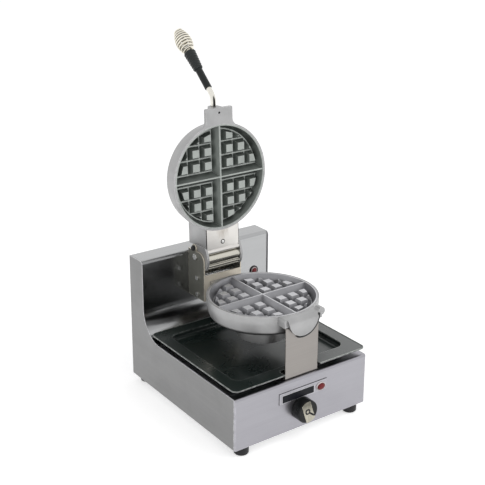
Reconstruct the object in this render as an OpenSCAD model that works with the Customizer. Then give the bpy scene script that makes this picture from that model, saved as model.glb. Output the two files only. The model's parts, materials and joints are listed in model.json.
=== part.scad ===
// Round waffle maker on a sheet steel base: X to the right, Y to the back, Z up.
// The origin is the bottom centre of the box round the open machine. Sizes in millimetres.

/* [Base and tower] */
// Width of the base
body_w = 286; // [250:1:345]
// Height of the base from the lower edge of its panels to the deck
base_h = 94.5; // [78:0.5:114]
// Height of the tower above the deck
tower_rise = 146; // [146:1:176]
// Depth of the tower
tower_d = 43; // [38:1:60]
// Radius of the concave sweep from the deck to the tower
sweep_r = 53; // [30:1:60]
// Thickness of the steel sheet
sheet_t = 1.2; // [0.8:0.1:2]
// Radius of the front panel's top bend
ledge_r = 6; // [4:0.5:10]
// Depth of the front panel's top ledge
ledge_d = 17.5; // [12:0.5:24]
// Radius of the upright front corners
corner_r = 3; // [2:0.5:6]
// How far the side panels stand proud of the tower front
side_lip = 2.5; // [1:0.5:5]
// Radius of the bend along the tower's top edge
tower_bend_r = 7; // [3:0.5:12]
// Height of the bottom pan's lips
pan_lip = 12; // [8:1:20]

/* [Feet] */
// Height of the feet
foot_h = 16; // [12:0.5:25]
// Diameter of the feet
foot_d = 26; // [22:1:32]
// Foot centre from the side of the base
foot_in_x = 23; // [18:1:40]
// Foot centre from the front and the back of the base
foot_in_y = 14; // [14:1:40]

/* [Drip tray] */
// Height of the flange's top above the deck
tray_rise = 13.5; // [8:0.5:20]
// Thickness of the tray
tray_t = 1.4; // [1:0.1:2.5]
// Width of the flange at the sides
tray_side_rim = 25; // [15:1:40]
// Width of the flange at the back
tray_rear_rim = 25; // [22:0.5:40]
// From the tray's back edge to the tower front
tray_rear_gap = 27; // [24:1:40]
// Outer corner radius of the flange
tray_corner_r = 11; // [5:1:20]
// Corner radius of the sunken floor
tray_well_r = 15; // [8:1:25]

/* [Castings] */
// Outer radius of the round castings
casting_r = 99; // [85:1:119]
// Width of the housing's rim round the grid
rim_w = 3.1; // [2.5:0.1:5]
// Height of the straight band under the rim
band_h = 9.5; // [8:0.5:14]
// Height of the tapered side below the band
side_h = 20; // [17:0.5:28]
// Taper of the side, in degrees from upright
side_taper = 10; // [5:0.5:12]
// Radius of the bowl's lower corner
bowl_corner_r = 10; // [8:0.5:12]
// Slope of the bowl's bottom, in degrees
bowl_slope = 20; // [10:1:25]
// Wall of the housing
cast_wall = 4; // [3:0.5:5]
// Radius of the round cover under the bowl
cover_r = 44.5; // [36:0.5:50]
// Height of the round cover
cover_h = 22.9; // [15:0.5:28]

/* [Waffle grid] */
// Depth of the grid's cavity
cavity_d = 14.6; // [12:0.2:18]
// Wall of the cavity at its mouth
mouth_wall = 2.1; // [1.5:0.1:3]
// How much the cavity narrows from the mouth to the floor
cavity_draft = 6.6; // [3:0.2:8]
// Height of the pegs
peg_h = 9.9; // [7:0.1:12]
// Width of a peg at its foot
peg_foot = 23.2; // [18:0.2:26]
// Width of a groove's floor between two pegs
groove_w = 2.3; // [1.5:0.1:4]
// How much each side of a groove leans out, peg foot to peg top
groove_lean = 4.7; // [2:0.1:6]
// Half width of a cross rib at its foot
rib_foot = 9.5; // [6:0.5:12]
// Half width of a cross rib's crest
rib_crest = 1.3; // [0.8:0.1:3]
// Thickness of the metal under the cavity's floor
grid_floor_t = 10; // [8:0.5:14]

/* [Hinge] */
// Height of the lower rim above the deck
rim_up = 111; // [95:1:120]
// Gap between the closed lid and the lower rim
lid_gap = 0.3; // [0.2:0.1:1]
// Height of the hinge pin above the closed lid's rim plane
pivot_rise = 29.9; // [28:0.1:34]
// Hinge pin behind the back of the casting
neck_len = 51.7; // [50:0.1:60]
// Tower front behind the hinge pin
hinge_out = 23.8; // [23:0.1:30]
// Angle between the closed and the open lid
open_angle = 92.46; // [88:0.5:96]
// Radius of the hinge pin
pin_r = 5; // [4:0.5:6]
// Radial clearance of the pin in the lid
pin_play = 0.05; // [0.02:0.01:0.1]
// Half width of the hinge bracket
bracket_hw = 41.7; // [38:0.1:48]
// Thickness of the hinge bracket
bracket_t = 2.2; // [1.5:0.1:3]
// Height of the hinge bracket's lower edge above the deck
bracket_up = 60.5; // [40:0.5:70]
// Radius of the hinge cheeks
cheek_r = 36; // [34:0.5:36.5]
// Depth of the lid's neck
neck_depth = 58; // [50:1:62]

/* [Handle] */
// Diameter of the handle's rod
rod_d = 10; // [8:0.5:12]
// Angle of the handle's bend
handle_bend = 45.6; // [30:0.2:60]
// Radius of the handle's bend
handle_bend_r = 22; // [18:1:30]
// Length of the lid's front tab past the casting
tab_len = 27.5; // [24:0.5:36]
// Half width of the lid's front tab
tab_hw = 28.5; // [24:0.1:38]
// Length of the smooth sleeve
sleeve_len = 43; // [30:1:60]
// Length of the ribbed sleeve
grip_len = 39; // [30:1:50]
// Length of the wire coil
coil_len = 53; // [40:1:64]
// Largest outer radius of the wire coil
coil_r = 16; // [14:0.5:19]
// Diameter of the coil's wire
coil_wire = 4.2; // [3.5:0.1:4.6]

/* [Front strap] */
// Half width of the front strap
strap_hw = 35; // [30:0.5:38]
// Depth of the strap's bent foot and head
strap_foot = 12; // [10:0.5:14]
// Thickness of the strap
strap_t = 3; // [2:0.1:4]
// Front of the strap past the casting
strap_out = 13; // [12:0.5:18]
// Front of the base past the strap
front_margin = 5.5; // [5.5:0.5:15]

/* [Front fittings] */
// Sideways place of the knob
knob_x = -4; // [-20:1:20]
// Height of the knob above the panel's lower edge
knob_up = 37; // [26:1:45]
// Diameter of the knob
knob_d = 41; // [34:1:46]
// Depth of the knob
knob_depth = 19; // [14:0.5:24]
// Width of the bright insert across the knob
insert_w = 15.6; // [10:0.2:20]
// Width of the backing plate
plate_w = 103; // [90:1:120]
// Height of the backing plate
plate_h = 20; // [18:0.5:24]
// Outer diameter of a lamp's bezel
lamp_d = 16.5; // [14:0.5:18]

/* [Hidden] */
$fn = 64;

// Clearances that several pieces share
slip = 0.3;
hole_play = 0.1;

// Levels and stations of the base
deck_z = foot_h + base_h;
tower_top = deck_z + tower_rise;
arm = casting_r + neck_len;
body_d = front_margin + strap_out + casting_r + arm + hinge_out + tower_d;
// The base's centre lies this far ahead of the origin, because the open lid leans back over the tower
base_ahead = 15.7;
front_y = -body_d / 2 - base_ahead;
back_y = body_d / 2 - base_ahead;
half_w = body_w / 2;
inner_w = half_w - sheet_t;
tower_y = back_y - tower_d;
side_edge_y = tower_y - side_lip;
ledge_back = front_y + ledge_d;
side_front_y = front_y + corner_r + slip;

// Levels and stations of the castings and the hinge
rim_z = deck_z + rim_up;
lid_z = rim_z + lid_gap;
hinge_z = lid_z + pivot_rise;
hinge_y = tower_y - hinge_out;
grid_y = hinge_y - arm;
bracket_z = deck_z + bracket_up;
// Front web of the bracket: its distance ahead of the pin, and its drop below the rim
web_out = 27.9;
web_drop = 0.7;
web_y = hinge_y - web_out;
web_top = rim_z - web_drop;
// Rod that the open lid rests on, above and behind the pin
stop_up = 15.3;
stop_back = 5.3;
stop_r = 4;
// The neck ends this far ahead of the pin
neck_end = 19.6;
neck_hw = bracket_hw - bracket_t - 3.5;
cheek_out = bracket_hw - bracket_t - slip;
cheek_in = neck_hw - 1.3;
hub_r = 11;
hub_in = 22;

// Bowl section: tangent points of its lower corner
side_normal = [cos(side_taper), -sin(side_taper)];
slope_normal = [sin(bowl_slope), -cos(bowl_slope)];
side_end = [casting_r - side_h * sin(side_taper), -band_h - side_h * cos(side_taper)];
corner_c = side_end - bowl_corner_r * side_normal;
slope_start = corner_c + bowl_corner_r * slope_normal;
foot_r = cover_r + 1.5;
function slope_z(r, k) = slope_start[1] - k * slope_normal[1]
    - (slope_start[0] - k * slope_normal[0] - r) * tan(bowl_slope);
bowl_foot_z = slope_z(foot_r, 0);
cover_z = bowl_foot_z - cover_h;

// Grid
seat_r = casting_r - rim_w;
flange_t = 7.2;
grid_top = -0.2;
rib_top = -0.7;
grid_body_r = seat_r - 3.2;
grid_drop = cavity_d + grid_floor_t;
mouth_r = seat_r - hole_play - mouth_wall;
floor_r = mouth_r - cavity_draft;
peg_field_r = floor_r - 1.8;
first_groove = rib_foot + groove_w + peg_foot + groove_w / 2;
groove_pitch = peg_foot + groove_w;
element_r = 60 * casting_r / 99;
element_d = 8.4;
screw_ring = 72 * casting_r / 99;
screw_r = 2.5;
lead_z = grid_drop + 6.4;
lead_r = 3.6;

// Strap
strap_y = grid_y - casting_r - strap_out;
ear_h = 13.5;
strap_top = rim_z - ear_h;
strap_back = strap_y + strap_foot;
strap_bend_r = strap_t + 1;
strap_edge_r = 1.2;
strap_screw_x = 22;
strap_screw_y = strap_y + 8;
strap_head_r = 3.8;

// Handle
tab_y = -casting_r - tab_len;
rod_lift = 18;
rod_run = 8;
sleeve_at = 10;
sleeve_r = rod_d / 2 + 1.5;
grip_r0 = 9;
grip_r1 = 11.5;

// Tray
tray_front = front_y + 1;
tray_back = tower_y - tray_rear_gap;
tray_hw = half_w;
well_front = strap_back + 14;
well_back = tray_back - tray_rear_rim;
well_hw = tray_hw - tray_side_rim;
flange_top = deck_z + tray_rise;
well_floor = deck_z + slip + tray_t;

// Fittings
knob_z = foot_h + knob_up;
plate_drop = 28.1;
plate_z = deck_z - plate_drop;
plate_t = 0.8;
lamp_x = 38;
lamp_drop = 1.4;
lamp_z = plate_z - lamp_drop;
tower_lamp_in = 33.5;
tower_lamp_drop = 75.5;
tower_lamp_x = half_w - tower_lamp_in;
tower_lamp_z = tower_top - tower_lamp_drop;
lamp_hole_r = lamp_d / 2 - 2.2;
shaft_r = 3;
nut_t = 2.5;
knob_back = front_y - 1;
knob_face = knob_back - knob_depth;

steel = [0.78, 0.78, 0.80];
cast = [0.68, 0.69, 0.70];
black = [0.10, 0.10, 0.11];
chrome = [0.86, 0.86, 0.84];

// ---- Shared shapes ----

// Extrudes an outline drawn in Y and Z from x0 to x1
module slab_x(x0, x1) {
    translate([x0, 0, 0]) rotate([90, 0, 90]) linear_extrude(x1 - x0) children();
}

// Extrudes an outline drawn in X and Z from y0 to y1
module slab_y(y0, y1) {
    translate([0, y1, 0]) rotate([90, 0, 0]) linear_extrude(y1 - y0) children();
}

// Extrudes an outline drawn in X and Y from z0 to z1
module slab_z(z0, z1) {
    translate([0, 0, z0]) linear_extrude(z1 - z0) children();
}

// Rectangle from its lowest to its highest corner
module span(x0, x1, y0, y1) {
    translate([x0, y0]) square([x1 - x0, y1 - y0]);
}

// Rectangle with round corners
module round_span(x0, x1, y0, y1, r) {
    span(x0 + r, x1 - r, y0, y1);
    span(x0, x1, y0 + r, y1 - r);
    for (x = [x0 + r, x1 - r], y = [y0 + r, y1 - r]) translate([x, y]) circle(r);
}

module bar_x(x0, x1, y, z, r) {
    translate([x0, y, z]) rotate([0, 90, 0]) cylinder(h = x1 - x0, r = r);
}

module bar_y(y0, y1, x, z, r) {
    translate([x, y0, z]) rotate([-90, 0, 0]) cylinder(h = y1 - y0, r = r);
}

module bar_z(z0, z1, x, y, r) {
    translate([x, y, z0]) cylinder(h = z1 - z0, r = r);
}

module both_sides() {
    children();
    mirror([1, 0, 0]) children();
}

// Ring bend in the Y and Z plane: the quarter that faces quadrant (qy, qz)
module quarter_ring(y, z, r_out, r_in, qy, qz) {
    translate([y, z]) intersection() {
        difference() {
            circle(r_out);
            circle(r_in);
        }
        span(min(0, qy * r_out), max(0, qy * r_out), min(0, qz * r_out), max(0, qz * r_out));
    }
}

// Screw along +Z: its head lies below z = 0
module screw(len, r = screw_r, head_r = 4.4, head_h = 2.6) {
    cylinder(h = len, r = r);
    difference() {
        translate([0, 0, -head_h]) cylinder(h = head_h, r = head_r);
        for (a = [0, 90]) rotate([0, 0, a]) translate([-head_r * 0.6, -0.5, -head_h - 1])
            cube([head_r * 1.2, 1, 2]);
    }
}

// ---- Base and tower ----

module side_outline() {
    span(side_front_y, back_y, foot_h, deck_z);
    span(side_edge_y + tower_bend_r, back_y, deck_z, tower_top);
    span(side_edge_y, back_y, deck_z, tower_top - tower_bend_r);
    translate([side_edge_y + tower_bend_r, tower_top - tower_bend_r]) circle(tower_bend_r);
    difference() {
        span(side_edge_y - sweep_r, side_edge_y, deck_z, deck_z + sweep_r);
        translate([side_edge_y - sweep_r, deck_z + sweep_r]) circle(sweep_r);
    }
}

module right_side_panel() color(steel) slab_x(inner_w, half_w) side_outline();

module left_side_panel() color(steel) slab_x(-half_w, -inner_w) side_outline();

module front_panel() color(steel) difference() {
    intersection() {
        slab_x(-half_w, half_w) {
            span(front_y, ledge_back, foot_h, deck_z - ledge_r);
            span(front_y + ledge_r, ledge_back, foot_h, deck_z);
            translate([front_y + ledge_r, deck_z - ledge_r]) circle(ledge_r);
        }
        slab_z(foot_h, deck_z) {
            span(-half_w + corner_r, half_w - corner_r, front_y, ledge_back);
            span(-half_w, half_w, front_y + corner_r, ledge_back);
            for (s = [-1, 1]) translate([s * (half_w - corner_r), front_y + corner_r]) circle(corner_r);
        }
    }
    slab_x(-inner_w, inner_w) {
        span(front_y + sheet_t, ledge_back + 1, foot_h - 1, deck_z - ledge_r);
        span(front_y + ledge_r, ledge_back + 1, foot_h - 1, deck_z - sheet_t);
        translate([front_y + ledge_r, deck_z - ledge_r]) circle(ledge_r - sheet_t);
    }
    both_sides() slab_x(inner_w, half_w + 1)
        span(front_y + corner_r, ledge_back + 1, foot_h - 1, deck_z + 1);
    bar_y(front_y - 1, front_y + 3, knob_x, knob_z, 5 + hole_play);
    bar_y(front_y - 1, front_y + 3, lamp_x, lamp_z, lamp_hole_r + hole_play);
    strap_holes(deck_z - 4);
    bar_z(deck_z - 3, deck_z + 1, 0, strap_screw_y, tube_hole_r);
}

// Places of the two screws that hold the strap's foot
module at_strap_feet() {
    for (s = [-1, 1]) translate([s * strap_screw_x, strap_screw_y, 0]) children();
}

// Hole for the thermostat's tube, through the strap's foot and the ledge
tube_hole_r = 3;

module strap_holes(z0) {
    at_strap_feet() bar_z(z0, z0 + 8, 0, 0, screw_r + hole_play);
}

module deck_plate() color(steel) difference() {
    union() {
        slab_z(deck_z - sheet_t, deck_z) span(-inner_w, inner_w, ledge_back + slip, tower_y - sweep_r);
        both_sides() slab_z(deck_z - 10, deck_z - sheet_t)
            span(inner_w - sheet_t, inner_w, ledge_back + 6, tower_y - sweep_r - 6);
    }
    strap_holes(deck_z - 4);
}

module tower_front_sheet() color(steel) difference() {
    slab_x(-inner_w, inner_w) {
        quarter_ring(tower_y - sweep_r, deck_z + sweep_r, sweep_r + sheet_t, sweep_r, 1, -1);
        span(tower_y, tower_y + sheet_t, deck_z + sweep_r, tower_top - tower_bend_r);
        quarter_ring(tower_y + tower_bend_r, tower_top - tower_bend_r,
            tower_bend_r, tower_bend_r - sheet_t, -1, 1);
        span(tower_y + tower_bend_r, back_y - sheet_t, tower_top - sheet_t, tower_top);
    }
    at_tower_bolts() bar_y(tower_y - 1, tower_y + 3, 0, 0, screw_r + hole_play);
    bar_y(tower_y - 1, tower_y + 3, 0, rim_z - lead_z, lead_r + hole_play);
    bar_y(tower_y - 1, tower_y + 3, tower_lamp_x, tower_lamp_z, lamp_hole_r + hole_play);
}

module rear_cover() color(steel) difference() {
    slab_y(back_y - sheet_t, back_y) span(-inner_w, inner_w, foot_h, tower_top - sheet_t);
    for (row = [0 : 1], i = [-4 : 4]) slab_y(back_y - 3, back_y + 1)
        translate([i * 18, deck_z + 40 + row * 45]) round_span(-3, 3, -15, 15, 2.9);
    bar_y(back_y - 3, back_y + 1, gland_x, gland_z, gland_r + hole_play);
    at_rear_screws() bar_y(back_y - 3, back_y + 1, 0, 0, 2 + hole_play);
}

gland_x = inner_w - 42;
gland_z = foot_h + 34;
gland_r = 8;

module at_rear_screws() {
    for (s = [-1, 1], z = [foot_h + 22, deck_z + 10, tower_top - 14]) translate([s * (inner_w - 9), 0, z])
        children();
}

// Each screw holds the cover to a block welded to the side panel
module rear_cover_screws() color(chrome) at_rear_screws() {
    translate([0, back_y, 0]) rotate([90, 0, 0]) screw(7, 2, 3.6, 2);
    difference() {
        translate([-9 + slip, back_y - sheet_t - 8, -6]) cube([18 - slip, 8, 12]);
        bar_y(back_y - 12, back_y, 0, 0, 2);
    }
}

module bottom_pan() color([0.62, 0.63, 0.65]) difference() {
    slab_z(foot_h, foot_h + pan_lip) span(-inner_w, inner_w, front_y + sheet_t, back_y - sheet_t);
    slab_z(foot_h + sheet_t, foot_h + pan_lip + 1)
        span(-inner_w + sheet_t, inner_w - sheet_t, front_y + 2 * sheet_t, back_y - 2 * sheet_t);
    at_feet() bar_z(foot_h - 1, foot_h + 3, 0, 0, screw_r + hole_play);
    for (i = [-3 : 3]) slab_z(foot_h - 1, foot_h + 3) round_span(i * 20 - 3, i * 20 + 3, -30, 30, 2.9);
}

module at_feet() {
    for (s = [-1, 1], y = [front_y + foot_in_y, back_y - foot_in_y])
        translate([s * (half_w - foot_in_x), y, 0]) children();
}

module feet() color(black) at_feet() difference() {
    union() {
        cylinder(h = 2, r1 = foot_d / 2 - 2, r2 = foot_d / 2);
        bar_z(2, foot_h, 0, 0, foot_d / 2);
    }
    bar_z(-1, foot_h / 2, 0, 0, 5.5);
    bar_z(-1, foot_h + 1, 0, 0, screw_r + hole_play);
}

module foot_screws() color(chrome) at_feet() {
    translate([0, 0, foot_h / 2]) screw(foot_h / 2 + 6);
    difference() {
        bar_z(foot_h + sheet_t, foot_h + sheet_t + 4, 0, 0, 4.6);
        bar_z(foot_h, foot_h + 8, 0, 0, screw_r);
    }
}

// ---- Drip tray ----

module drip_tray() color([0.18, 0.21, 0.20]) difference() {
    union() {
        slab_z(flange_top - tray_t, flange_top)
            round_span(-tray_hw, tray_hw, tray_front, tray_back, tray_corner_r);
        slab_z(deck_z + slip, flange_top - tray_t / 2) round_span(-well_hw - tray_t, well_hw + tray_t,
            well_front - tray_t, well_back + tray_t, tray_well_r + tray_t);
    }
    slab_z(well_floor, flange_top + 1) round_span(-well_hw, well_hw, well_front, well_back, tray_well_r);
    slab_z(deck_z, flange_top + 1) span(-strap_hw - 3, strap_hw + 3, tray_front - 1, strap_back + 1.5);
}

// ---- Front strap ----

// End of the strap bent back at level z: its foot where up is -1, its head where up is 1
module strap_end(z, up) {
    bend_y = strap_y + strap_bend_r;
    inner_z = z - up * strap_t;
    slab_x(-strap_hw, strap_hw) {
        quarter_ring(bend_y, z - up * strap_bend_r, strap_bend_r, strap_bend_r - strap_t, -1, up);
        span(bend_y, strap_back, min(z, inner_z), max(z, inner_z));
    }
}

module front_strap() color([0.76, 0.74, 0.71]) difference() {
    union() {
        slab_z(deck_z + strap_bend_r, strap_top - strap_bend_r)
            round_span(-strap_hw, strap_hw, strap_y, strap_y + strap_t, strap_edge_r);
        strap_end(deck_z, -1);
        strap_end(strap_top, 1);
    }
    strap_holes(deck_z - 2);
    strap_holes(strap_top - 4);
    bar_z(deck_z - 1, deck_z + strap_t + 1, 0, strap_screw_y, tube_hole_r);
}

module strap_screws() color(chrome) {
    at_strap_feet() translate([0, 0, deck_z + strap_t]) mirror([0, 0, 1]) screw(9, head_r = strap_head_r);
    at_strap_feet() translate([0, 0, strap_top - strap_t]) screw(10, head_r = strap_head_r);
}

// ---- Castings, drawn with the rim's plane at z = 0 and the bowl below it ----

module bowl_outline(k) {
    polygon([[0, 0], [casting_r - k, 0], [casting_r - k, -band_h], side_end - k * side_normal,
        corner_c, slope_start - k * slope_normal, [foot_r, slope_z(foot_r, k)], [0, slope_z(foot_r, k)]]);
}

module bowl_solid(k) {
    rotate_extrude() bowl_outline(k);
    rotate_extrude() intersection() {
        translate(corner_c) circle(bowl_corner_r - k);
        span(1, casting_r, corner_c[1] - bowl_corner_r, corner_c[1] + 1);
    }
}

module at_grid_screws() {
    for (a = [90, 210, 330]) rotate([0, 0, a]) translate([screw_ring, 0, 0]) children();
}

counter_z = -grid_drop - 7;

// Shell with the grid's seat, three screw bosses and the opening in its foot
module housing_shell() {
    difference() {
        union() {
            difference() {
                bowl_solid(0);
                bar_z(-flange_t, 1, 0, 0, seat_r);
                bar_z(-grid_drop, 1, 0, 0, grid_body_r + slip);
                intersection() {
                    bowl_solid(cast_wall);
                    bar_z(cover_z, -grid_drop + 0.01, 0, 0, casting_r);
                }
            }
            intersection() {
                bowl_solid(0);
                at_grid_screws() bar_z(cover_z, -grid_drop, 0, 0, 6);
            }
        }
        bar_z(cover_z, -grid_drop, 0, 0, cover_r - 12);
        at_grid_screws() bar_z(cover_z, counter_z, 0, 0, 4.8);
        at_grid_screws() bar_z(cover_z, 1, 0, 0, screw_r + hole_play);
        cover_screw_holes();
    }
}

module at_cover_screws() {
    for (s = [-1, 1]) translate([0, s * (cover_r - 7), 0]) children();
}

module cover_screw_holes() {
    at_cover_screws() bar_z(cover_z - 1, bowl_foot_z + 8, 0, 0, 2 + hole_play);
}

// Groove along X whose floor is 2 * half wide and whose sides lean out
module grid_groove(c, half) {
    top = -cavity_d + peg_h + 0.01;
    top_half = half + groove_lean;
    slab_x(-casting_r, casting_r) translate([c, 0])
        polygon([[-half, -cavity_d], [half, -cavity_d], [top_half, top], [-top_half, top]]);
}

module cross_rib() {
    slab_x(-mouth_r - 1, mouth_r + 1) polygon([[-rib_foot, -cavity_d - 1], [rib_foot, -cavity_d - 1],
        [rib_foot, -cavity_d], [rib_crest, rib_top], [-rib_crest, rib_top], [-rib_foot, -cavity_d]]);
}

module grid_body() {
    difference() {
        union() {
            bar_z(-flange_t, grid_top, 0, 0, seat_r - hole_play);
            bar_z(-grid_drop, -flange_t + 1, 0, 0, grid_body_r);
        }
        translate([0, 0, -cavity_d]) cylinder(h = cavity_d, r1 = floor_r, r2 = mouth_r);
        translate([0, 0, -grid_drop]) rotate_extrude()
            span(element_r - element_d / 2 - slip, element_r + element_d / 2 + slip, -1, 3);
        at_grid_screws() bar_z(-grid_drop - 1, -cavity_d - 2, 0, 0, screw_r + hole_play);
    }
    difference() {
        translate([0, 0, -cavity_d - 0.5])
            cylinder(h = peg_h + 0.5, r1 = peg_field_r, r2 = peg_field_r - 3.5);
        for (a = [0, 90]) rotate([0, 0, a]) {
            grid_groove(0, rib_foot + groove_w);
            for (s = [-1, 1], i = [0, 1]) grid_groove(s * (first_groove + i * groove_pitch), groove_w / 2);
        }
    }
    intersection() {
        union() {
            cross_rib();
            rotate([0, 0, 90]) cross_rib();
        }
        translate([0, 0, -cavity_d - 1]) cylinder(h = cavity_d + 1, r1 = floor_r, r2 = mouth_r + 0.5);
    }
}

module grid_screw_set() {
    at_grid_screws() translate([0, 0, counter_z]) screw(-counter_z - cavity_d - 2.5);
}

element_z = -grid_drop - element_d / 2 + 2.6;

module element_ring() {
    translate([0, 0, element_z]) rotate([0, 0, 100]) rotate_extrude(angle = 340)
        translate([element_r, 0]) circle(element_d / 2);
    for (s = [-1, 1]) rotate([0, 0, 90 + s * 10]) bar_z(element_z - 12, element_z, element_r, 0, 2.6);
}

pad_top = -grid_drop - 10;
pad_r = element_r - 8;
pad_foot = slope_z(pad_r, cast_wall);

module insulation_pad() {
    difference() {
        bar_z(pad_foot, pad_top, 0, 0, pad_r);
        bar_z(pad_foot - 1, pad_top + 1, 0, 0, cover_r - 14);
    }
}

module round_cover() {
    difference() {
        bar_z(cover_z, bowl_foot_z, 0, 0, cover_r);
        bar_z(cover_z + 2, bowl_foot_z + 1, 0, 0, cover_r - 2);
        cover_screw_holes();
    }
}

module cover_screw_set() {
    at_cover_screws() translate([0, 0, cover_z]) screw(cover_h + 3, 2, 3.8, 2);
}

module at_lower() translate([0, grid_y, rim_z]) children();

// The lid is drawn closed, with its rim's plane at z = 0, and turned open about the hinge pin
module at_lid() {
    translate([0, hinge_y, hinge_z]) rotate([-open_angle, 0, 0])
        translate([0, -arm, -pivot_rise]) children();
}

module flipped() mirror([0, 0, 1]) children();

// ---- Lower casting ----

tongue_hw = 31.5;
tongue_t = 4;
tongue_r = 9;
tongue_top = -0.2;
tongue_c = -2.5;
seat_top = -0.3;
seat_roll_r = 4.5;
nose_x = tab_hw + 13.5;
seat_hw = nose_x - 4;
nose_z = -2.8;
nose_r = 7;
lug_hw = 28;
lug_top = -12.5;

// Round tongue in front of the strap, rolled over from the casting's top
module tongue() {
    back = -casting_r - strap_out - slip;
    front = back - tongue_t;
    intersection() {
        slab_x(-tongue_hw, tongue_hw) {
            span(front, back, tongue_c - tongue_hw, tongue_top - tongue_r);
            span(front, front + tongue_r, -ear_h, tongue_top - tongue_r);
            span(front + tongue_r, -casting_r + 12, -ear_h, tongue_top);
            quarter_ring(front + tongue_r, tongue_top - tongue_r, tongue_r, 0.01, -1, 1);
        }
        slab_y(front - 1, -casting_r + 13) {
            translate([0, tongue_c]) circle(tongue_hw);
            span(-tongue_hw, tongue_hw, tongue_c, 0);
        }
    }
}

// Seat on the strap's head, with a round nose on its right that stands beside the closed lid's tab
module strap_seat() {
    front = -casting_r - strap_out + 0.2;
    intersection() {
        slab_x(-seat_hw, nose_x) {
            span(front, -casting_r + 14, -ear_h, seat_top - seat_roll_r);
            span(front + seat_roll_r, -casting_r + 14, -ear_h, seat_top);
            translate([front + seat_roll_r, seat_top - seat_roll_r]) circle(seat_roll_r);
        }
        slab_y(front - 1, -casting_r + 15) {
            round_span(-seat_hw, seat_hw, -2 * ear_h, seat_top, seat_roll_r);
            span(0, nose_x, -2 * ear_h, seat_top);
        }
    }
    slab_y(front + 1, -casting_r + 1) translate([nose_x, nose_z]) circle(nose_r);
}

module lower_housing() color(cast) at_lower() difference() {
    union() {
        housing_shell();
        difference() {
            union() {
                tongue();
                strap_seat();
                slab_z(-36, lug_top) span(-lug_hw, lug_hw, casting_r - 14, arm - web_out);
            }
            bowl_solid(0.5);
        }
    }
    at_strap_tops() bar_z(-ear_h - 1, -ear_h + 9, 0, 0, screw_r + hole_play);
    bar_y(casting_r - 20, arm, 0, -lead_z, lead_r + hole_play);
    at_lug_bolts() bar_y(casting_r - 4, arm, 0, 0, screw_r + hole_play);
    bar_y(-casting_r, -casting_r + 20, 0, capillary_z, 1.2);
}

capillary_z = -grid_drop - 7.7;

module at_strap_tops() {
    for (s = [-1, 1]) translate([s * strap_screw_x, strap_screw_y - grid_y, 0]) children();
}

module at_lug_bolts() {
    for (s = [-1, 1]) translate([s * 18, 0, -22]) children();
}

module lower_grid() color([0.72, 0.73, 0.74]) at_lower() grid_body();

module lower_grid_screws() color(chrome) at_lower() grid_screw_set();

module lower_element() color([0.30, 0.30, 0.31]) at_lower() element_ring();

module lower_insulation() color([0.9, 0.88, 0.8]) at_lower() insulation_pad();

module lower_cover() color(cast) at_lower() round_cover();

module lower_cover_screws() color(chrome) at_lower() cover_screw_set();

// ---- Lid ----

fillet_r = 14;
fillet_y = -sqrt(pow(casting_r + fillet_r, 2) - pow(tab_hw + fillet_r, 2));
fillet_touch = casting_r / (casting_r + fillet_r);
tab_t = 6;

module tab_outline() {
    round_span(-tab_hw, tab_hw, tab_y, -casting_r + 16, 2);
    both_sides() difference() {
        polygon([[tab_hw - 1, fillet_y], [tab_hw + fillet_r, fillet_y],
            [(tab_hw + fillet_r) * fillet_touch, fillet_y * fillet_touch], [tab_hw - 1, -casting_r + 16]]);
        translate([tab_hw + fillet_r, fillet_y]) circle(fillet_r);
    }
}

module upper_housing() color(cast) at_lid() difference() {
    union() {
        flipped() housing_shell();
        difference() {
            union() {
                slab_z(0, tab_t) tab_outline();
                bar_y(tab_y, -casting_r + 14, 0, rod_lift, rod_d / 2 + 5.5);
                slab_z(tab_t - 1, rod_lift) span(-rod_d / 2 - 5.5, rod_d / 2 + 5.5, tab_y, -casting_r + 14);
            }
            flipped() bowl_solid(0.5);
        }
    }
    bar_y(tab_y - 1, tab_y + 24, 0, rod_lift, rod_d / 2 + hole_play);
    bar_z(-1, rod_lift, 0, tab_y + 9, 2 + hole_play);
    bar_y(casting_r - 25, casting_r, lead_x, lead_z, lead_r + hole_play);
}

lead_x = 18;

module upper_grid() color([0.50, 0.53, 0.52]) at_lid() flipped() grid_body();

module upper_grid_screws() color(chrome) at_lid() flipped() grid_screw_set();

module upper_element() color([0.30, 0.30, 0.31]) at_lid() flipped() element_ring();

module upper_insulation() color([0.9, 0.88, 0.8]) at_lid() flipped() insulation_pad();

module upper_cover() color(cast) at_lid() flipped() round_cover();

module upper_cover_screws() color(chrome) at_lid() flipped() cover_screw_set();

// ---- Lid neck and hinge ----

cover_t = 1.5;
neck_wall = 4;
neck_front = casting_r - 15;
neck_back = arm - neck_end;

// Draws an outline in distances forward and up from the hinge pin, as they are with the lid open
module about_pin() translate([arm, pivot_rise]) mirror([1, 1]) children();

module cheek_outline() {
    circle(hub_r);
    intersection() {
        circle(cheek_r);
        polygon([[0, neck_end + 4], [0, -hub_r], [8, -hub_r], [31, -21], [45, -30], [45, neck_end + 4]]);
    }
}

module lid_neck() color(cast) at_lid() difference() {
    union() {
        difference() {
            slab_z(cover_t, neck_depth) span(-neck_hw, neck_hw, neck_front, neck_back);
            slab_z(0, neck_depth - neck_wall) span(-neck_hw + neck_wall, neck_hw - neck_wall,
                neck_front + neck_wall, neck_back - neck_wall);
            flipped() bowl_solid(0);
        }
        both_sides() slab_x(cheek_in, cheek_out) about_pin() cheek_outline();
        both_sides() bar_x(hub_in, cheek_out, arm, pivot_rise, hub_r);
        slab_z(cover_t, 12) difference() {
            translate([0, screw_y]) circle(6);
            circle(casting_r);
        }
        slab_z(cover_t, 12) span(-3, 3, screw_y, neck_back - 1);
    }
    bar_x(-bracket_hw, bracket_hw, arm, pivot_rise, pin_r + pin_play);
    bar_y(neck_front - 1, neck_back + 1, lead_x, lead_z, lead_r + hole_play);
    neck_screw_hole();
}

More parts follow.
